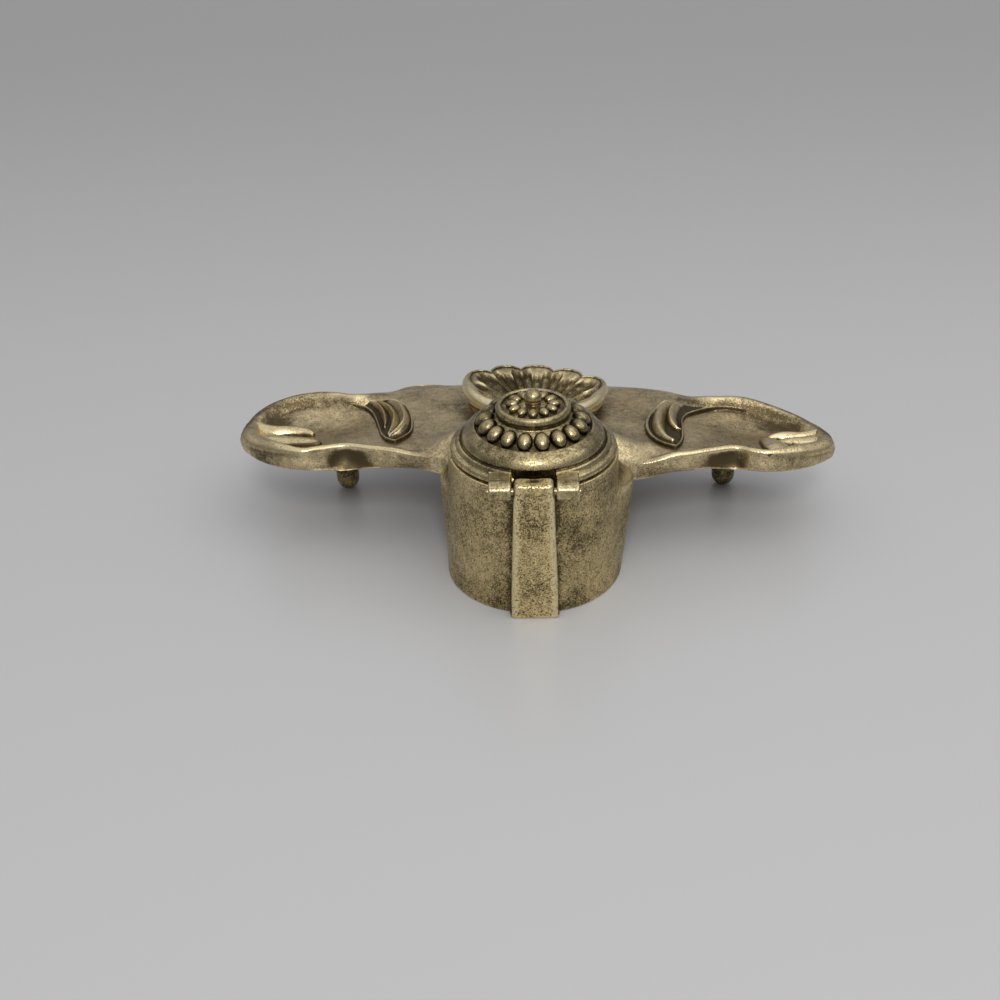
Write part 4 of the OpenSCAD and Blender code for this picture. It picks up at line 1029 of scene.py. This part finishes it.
# Lid
# The lid is one turned and chased casting: a rolled flange, a broad moulding, a sloping seat for
# the ring of beads and a raised saucer. Two squared ears at its back turn on the pin.
LID_R = 28.4
LID_Z = WELL_H + 0.3
LID_WALL = 2.2
BAND_R = 0.855 * LID_R
SEAT_R = 0.7 * LID_R
DISC_R = 0.45 * LID_R
BEAD_Z = 10.7
DISC_Z = 14.2
SEAT_Z = 8.6
LID_OUTSIDE = [
    (LID_R - 1.2, 0), (LID_R - .3, .4), (LID_R, 1.3), (LID_R - .4, 2.3), (LID_R - 1.3, 2.8),
    (LID_R - 1.9, 2.9), (LID_R - 2.1, 3.5), (LID_R - 2.5, 4.2), (LID_R - 3.1, 4.4), (BAND_R + .3, 4.1),
    (BAND_R, 4.5), (BAND_R, 5.3), (BAND_R - .9, 7), (BAND_R - 2.3, SEAT_Z - .2),
    (SEAT_R + .9, SEAT_Z + .7), (SEAT_R + .2, SEAT_Z + .9), (SEAT_R - .3, SEAT_Z + .4),
    (SEAT_R - .8, SEAT_Z), (DISC_R + 1, DISC_Z - 2.2), (DISC_R - .6, DISC_Z - 1.2),
    (DISC_R - .2, DISC_Z), (DISC_R, DISC_Z + 1.2), (DISC_R - .4, DISC_Z + 2.3),
    (DISC_R - 1.2, DISC_Z + 2.8), (DISC_R - 2, DISC_Z + 2.5), (DISC_R - 2.6, DISC_Z + 1.6),
    (DISC_R - 8, DISC_Z + 2.4), (2.1, DISC_Z + 2.8), (0, DISC_Z + 2.8),
]
LID_INSIDE = [
    (0, DISC_Z + 2.4 - LID_WALL), (DISC_R - 3 - LID_WALL / 2, DISC_Z + 1.2 - LID_WALL),
    (DISC_R - LID_WALL, DISC_Z - 2.4 - LID_WALL / 2), (SEAT_R - 1.5, SEAT_Z + .2 - LID_WALL),
    (BAND_R - LID_WALL, 4.6 - LID_WALL / 4), (LID_R - 2.2 - LID_WALL, 1.6), (LID_R - 2.2 - LID_WALL, 0),
]
outside = spline(LID_OUTSIDE, np.linspace(0, 28, 28 * 4 + 1))
inside = filleted(LID_INSIDE, [1, 1, 1, 1, 0.5], 1.8)
lid_profile = np.concatenate([outside, inside, outside[:1]])
lid_profile[:, 0] = np.maximum(lid_profile[:, 0], 0)
lid_points = turned(lid_profile + np.array([0, LID_Z]), round_angles)
# room for the hinge post between the ears: whatever stands in it is pushed back to its far wall
CUT_Y = -(BAND_R - 2.6)
in_cut = (np.abs(lid_points[..., 0]) < EAR_X) & (lid_points[..., 1] < CUT_Y)
in_cut &= lid_points[..., 2] < LID_Z + 4.6
lid_points[..., 1] = np.where(in_cut, CUT_Y, lid_points[..., 1])
lid_shells = [turned_shell(lid_points)]
ear_low, ear_back = AXIS_Z - 2.1, AXIS_Y - KNUCKLE_R + 0.03
ear_side = filleted([
    (-BAND_R + 1, LID_Z + 4), (AXIS_Y + 1.9, LID_Z + 4), (AXIS_Y + 1.2, AXIS_Z + 3.5),
    (AXIS_Y - 1.6, AXIS_Z + 3.4), (ear_back, AXIS_Z + 2), (ear_back, ear_low + 0.9),
    (ear_back + 0.9, ear_low), (AXIS_Y + 1.8, ear_low),
    (AXIS_Y + KNUCKLE_R, LID_Z), (-BAND_R + 1, LID_Z)], [0.5, 0.5, 1, 0.9, 0.5, 0.5, 0.8, 0.4], 0.5)
for side in (-1, 1):
    lid_shells.append(slab(ear_side, *sorted((side * EAR_X, side * (EAR_X + EAR_W))), 0.7))


def lid_painted_shade(p):
    """Painted shade lies between the beads, in the step above the flange and inside; the saucer and
    the moulding are painted a little darker.
    """
    r, z = np.hypot(p[:, 0], p[:, 1]), p[:, 2] - LID_Z
    seat = np.exp(-(((r - 16.8) / 3) ** 2)) * (z > 8)
    saucer = np.exp(-(((r - 6.5) / 3.6) ** 2)) * (z > DISC_Z + 1)
    step = np.exp(-(((r - BAND_R - 0.5) / 0.6) ** 2) - ((z - 4.2) / 0.7) ** 2)
    inner = (z < np.interp(r, [0, 11, 17, 22, 24.2], [14.8, 13, 7.6, 4.8, 2])) & (r < 24.3)
    torus = 0.3 * np.exp(-(((r - 22) / 2.6) ** 4)) * (z > 4.4)
    return np.clip(0.9 * seat + 0.25 * saucer + 0.8 * step + 0.6 * inner + torus, 0, 1)


lid_brass = old_brass("lid_brass_worn", (0.66, 0.545, 0.30), (0.07, 0.052, 0.026), (0.88, 0.76, 0.45),
                      pitting=0.6, clouds=0.9, bump=0.35, polish=0.08)
cast_piece("lid_dome", lid_shells, lid_brass, "lid", ["lid"],
           rough_cast=0.02, shade_highlight_and_wear=lid_painted_shade, wear=0.7)

# Lid beads
# Eighteen egg-shaped beads stand on the lid's slope and twelve small ones lie in its saucer.
# They are chased out of the casting, so no two are quite alike, and their tops are polished.
LARGE_BEADS = 18
SMALL_BEADS = 12


def beads(count, w, l, r, z, tilt, turn):
    """A ring of egg shapes: an ellipse turned about its long axis, tilted down the slope, and set at
    radius r and height z. Each bead is a few per cent larger or smaller than the next."""
    a = np.radians(np.linspace(-90, 90, 22))[None, :]
    b = np.radians(np.arange(0, 360, 12))[:, None]
    r_across = w / 2 * np.cos(a)
    egg = np.stack([r_across * np.cos(b), l / 2 * np.sin(a) + 0 * b, r_across * np.sin(b)], -1)
    shells = []
    for k in range(count):
        size = 1 + 0.025 * math.sin(7.3 * k + 1)
        lean = Matrix.Rotation(math.radians(tilt), 3, "X")
        turned_by = Matrix.Rotation(math.radians((k + turn) * 360 / count), 3, "Z")
        points = size * egg.reshape(-1, 3) @ np.array(lean).T + np.array([0, -r, z])
        shells.append((points @ np.array(turned_by).T, grid_faces(*egg.shape[:2], wrap_rows=True)))
    return shells


def bead_painted_shade(p):
    """Each bead is painted in shade where it meets the lid and its neighbours."""
    r, z = np.hypot(p[:, 0], p[:, 1]), p[:, 2] - LID_Z
    return 1.1 * (1 - smooth((z - mix(14.6, 7.7, (r - 12) / 9)) / 2.6))


bead_brass = old_brass("bead_brass", (0.62, 0.51, 0.28), (0.06, 0.045, 0.022), (0.88, 0.76, 0.44),
                       pitting=0.4, clouds=0.7, bump=0.25, polish=0.17)
bead_r = (SEAT_R + DISC_R) / 2 - 0.2
cast_piece("large_beads", beads(LARGE_BEADS, 5.4, 7.2, bead_r, LID_Z + BEAD_Z, 33, 0.5), bead_brass,
           "lid", ["lid_large_beads"], rough_cast=0, wear=0.15, shade_highlight_and_wear=bead_painted_shade)
# the small beads are painted in shade at their feet
cast_piece("small_beads", beads(SMALL_BEADS, 3.15, 4.7, 0.245 * LID_R, LID_Z + DISC_Z + 2.5, 0, 0),
           bead_brass, "lid", ["lid_small_beads"], rough_cast=0, wear=0.15,
           shade_highlight_and_wear=lambda p: 1 - smooth((p[:, 2] - LID_Z - DISC_Z - 1.9) / 1.2))

# Knob
# A small ball with a slight point, on a narrow neck and a thin collar, by which the lid is lifted.
KNOB_R = 3.1
a = np.radians(np.linspace(-38, 74, 20))
knob_profile = np.concatenate([
    [(0, -1.5), (2.6, -1.5), (2.75, 0.1), (2.5, 0.42), (1.95, 0.5)],
    np.stack([KNOB_R * np.cos(a), 2.3 + KNOB_R * 0.96 * np.sin(a)], 1), [(0.4, 5.34), (0, 5.42)]])
knob_points = turned(knob_profile + np.array([0, LID_Z + DISC_Z + 2.8]), np.radians(np.arange(0, 360, 6)))
# the knob is painted in shade at its foot
cast_piece("knob", [turned_shell(knob_points)], bead_brass, "lid", ["lid_knob"],
           rough_cast=0, wear=0.15,
           shade_highlight_and_wear=lambda p: 0.8 * (1 - smooth((p[:, 2] - LID_Z - DISC_Z - 2.8) / 1.6)))

# Floor, light and camera
# The inkstand stands on a pale grey sheet that sweeps up gently behind it. The light is a broad
# soft one from above, and a window behind the camera.
# the sheet is painted darker towards the back, as painted shade where the backdrop sweeps up
FLOOR_NEAR = (0.475, 0.475, 0.48, 1)
FLOOR_SHADED_FAR = (0.335, 0.33, 0.335, 1)
sweep_y = np.linspace(-1.6, 1.7, 67)
sweep_z = np.where(sweep_y > 0.25, (sweep_y - 0.25) ** 2 / 2.4, 0)
sheet = np.stack(np.broadcast_arrays(np.linspace(-1.9, 1.9, 39)[:, None], sweep_y[None], sweep_z[None]), -1)
floor_mesh = bpy.data.meshes.new("floor_sheet")
floor_mesh.from_pydata(sheet.reshape(-1, 3).tolist(), [], grid_faces(39, 67).tolist())
floor_mesh.polygons.foreach_set("use_smooth", np.ones(len(floor_mesh.polygons), bool))
floor_grey = bpy.data.materials.new("floor_grey")
floor_grey.use_nodes = True
tree = floor_grey.node_tree
tree.nodes.clear()
where = put(tree, "ShaderNodeTexCoord").outputs["Object"]
far = ramp(tree, put(tree, "ShaderNodeSeparateXYZ", {0: where}).outputs[1], 0.16, 0.62)
grain = put(tree, "ShaderNodeTexNoise", {"Vector": where, "Scale": 900.0, "Detail": 2.0})
grained = put(tree, "ShaderNodeBump", {"Strength": 0.08, "Distance": 0.1 * MM, "Height": grain.outputs[0]})
sheet_shader = put(tree, "ShaderNodeBsdfPrincipled", {
    "Base Color": tint(tree, far, FLOOR_NEAR, FLOOR_SHADED_FAR), "Roughness": 0.34,
    "Normal": grained.outputs["Normal"]})
put(tree, "ShaderNodeOutputMaterial", {"Surface": sheet_shader.outputs[0]})
floor_mesh.materials.append(floor_grey)
floor_sheet = bpy.data.objects.new("floor_sheet", floor_mesh)
bpy.context.scene.collection.objects.link(floor_sheet)

world = bpy.data.worlds.new("studio") if bpy.context.scene.world is None else bpy.context.scene.world
bpy.context.scene.world = world
world.use_nodes = True
world.node_tree.nodes.clear()
# the room is darker near the horizon, most of all to the sides
way = put(world.node_tree, "ShaderNodeSeparateXYZ", {
    0: put(world.node_tree, "ShaderNodeTexCoord").outputs["Generated"]}).outputs
aside = calc(world.node_tree, "MULTIPLY", calc(world.node_tree, "ABSOLUTE", way[0]), 0.5)
room = ramp(world.node_tree, calc(world.node_tree, "SUBTRACT", way[2], aside), -0.3, 0.5, 0.20, 0.74)
sky = put(world.node_tree, "ShaderNodeBackground", {"Color": (1.0, 1.0, 1.02, 1), "Strength": room})
put(world.node_tree, "ShaderNodeOutputWorld", {"Surface": sky.outputs[0]})


def soft_light(name, place, aim, size, power, colour):
    """A square area lamp at place, turned towards aim."""
    lamp = bpy.data.lights.new(name, "AREA")
    lamp.shape, lamp.size, lamp.energy, lamp.color = "SQUARE", size, power, colour
    holder = bpy.data.objects.new(name, lamp)
    holder.location = place
    holder.rotation_euler = (Vector(aim) - Vector(place)).to_track_quat("-Z", "Y").to_euler()
    bpy.context.scene.collection.objects.link(holder)


soft_light("top_light", (0.42, -0.25, 0.95), (0, 0.02, 0.03), 1.2, 3.2, (1.0, 0.99, 0.97))
soft_light("window", (0.02, -1.05, 1.05), (0, 0, 0.03), 0.36, 6.6, (1.0, 0.985, 0.94))

# the camera looks down at the back of the stand; the small shift puts the well's axis where the
# photograph has it
PITCH, ROLL = math.radians(30.3), math.radians(-0.55)
FOCAL_PX = 1500.0
SHIFT_PX = (-33.9, -8.2)
AIM_Z = 0.030
DISTANCE = 0.520
ahead = Vector((0, math.cos(PITCH), -math.sin(PITCH)))
up = Vector((0, math.sin(PITCH), math.cos(PITCH)))
right = Vector((1, 0, 0))
eye = Vector((0, 0, AIM_Z)) - DISTANCE * ahead
turned_side = right * math.cos(ROLL) + up * math.sin(ROLL)
turned_up = up * math.cos(ROLL) - right * math.sin(ROLL)
camera = bpy.data.objects.new("camera", bpy.data.cameras.new("camera"))
camera.data.sensor_width = 36.0
camera.data.lens = 36.0 * FOCAL_PX / 1000.0
camera.matrix_world = Matrix([
    [turned_side[k], turned_up[k], -ahead[k], eye[k]] for k in range(3)] + [[0, 0, 0, 1]])
camera.data.shift_x, camera.data.shift_y = SHIFT_PX[0] / 1000, SHIFT_PX[1] / 1000
bpy.context.scene.collection.objects.link(camera)
bpy.context.scene.camera = camera

bpy.context.scene.view_settings.view_transform = "Standard"
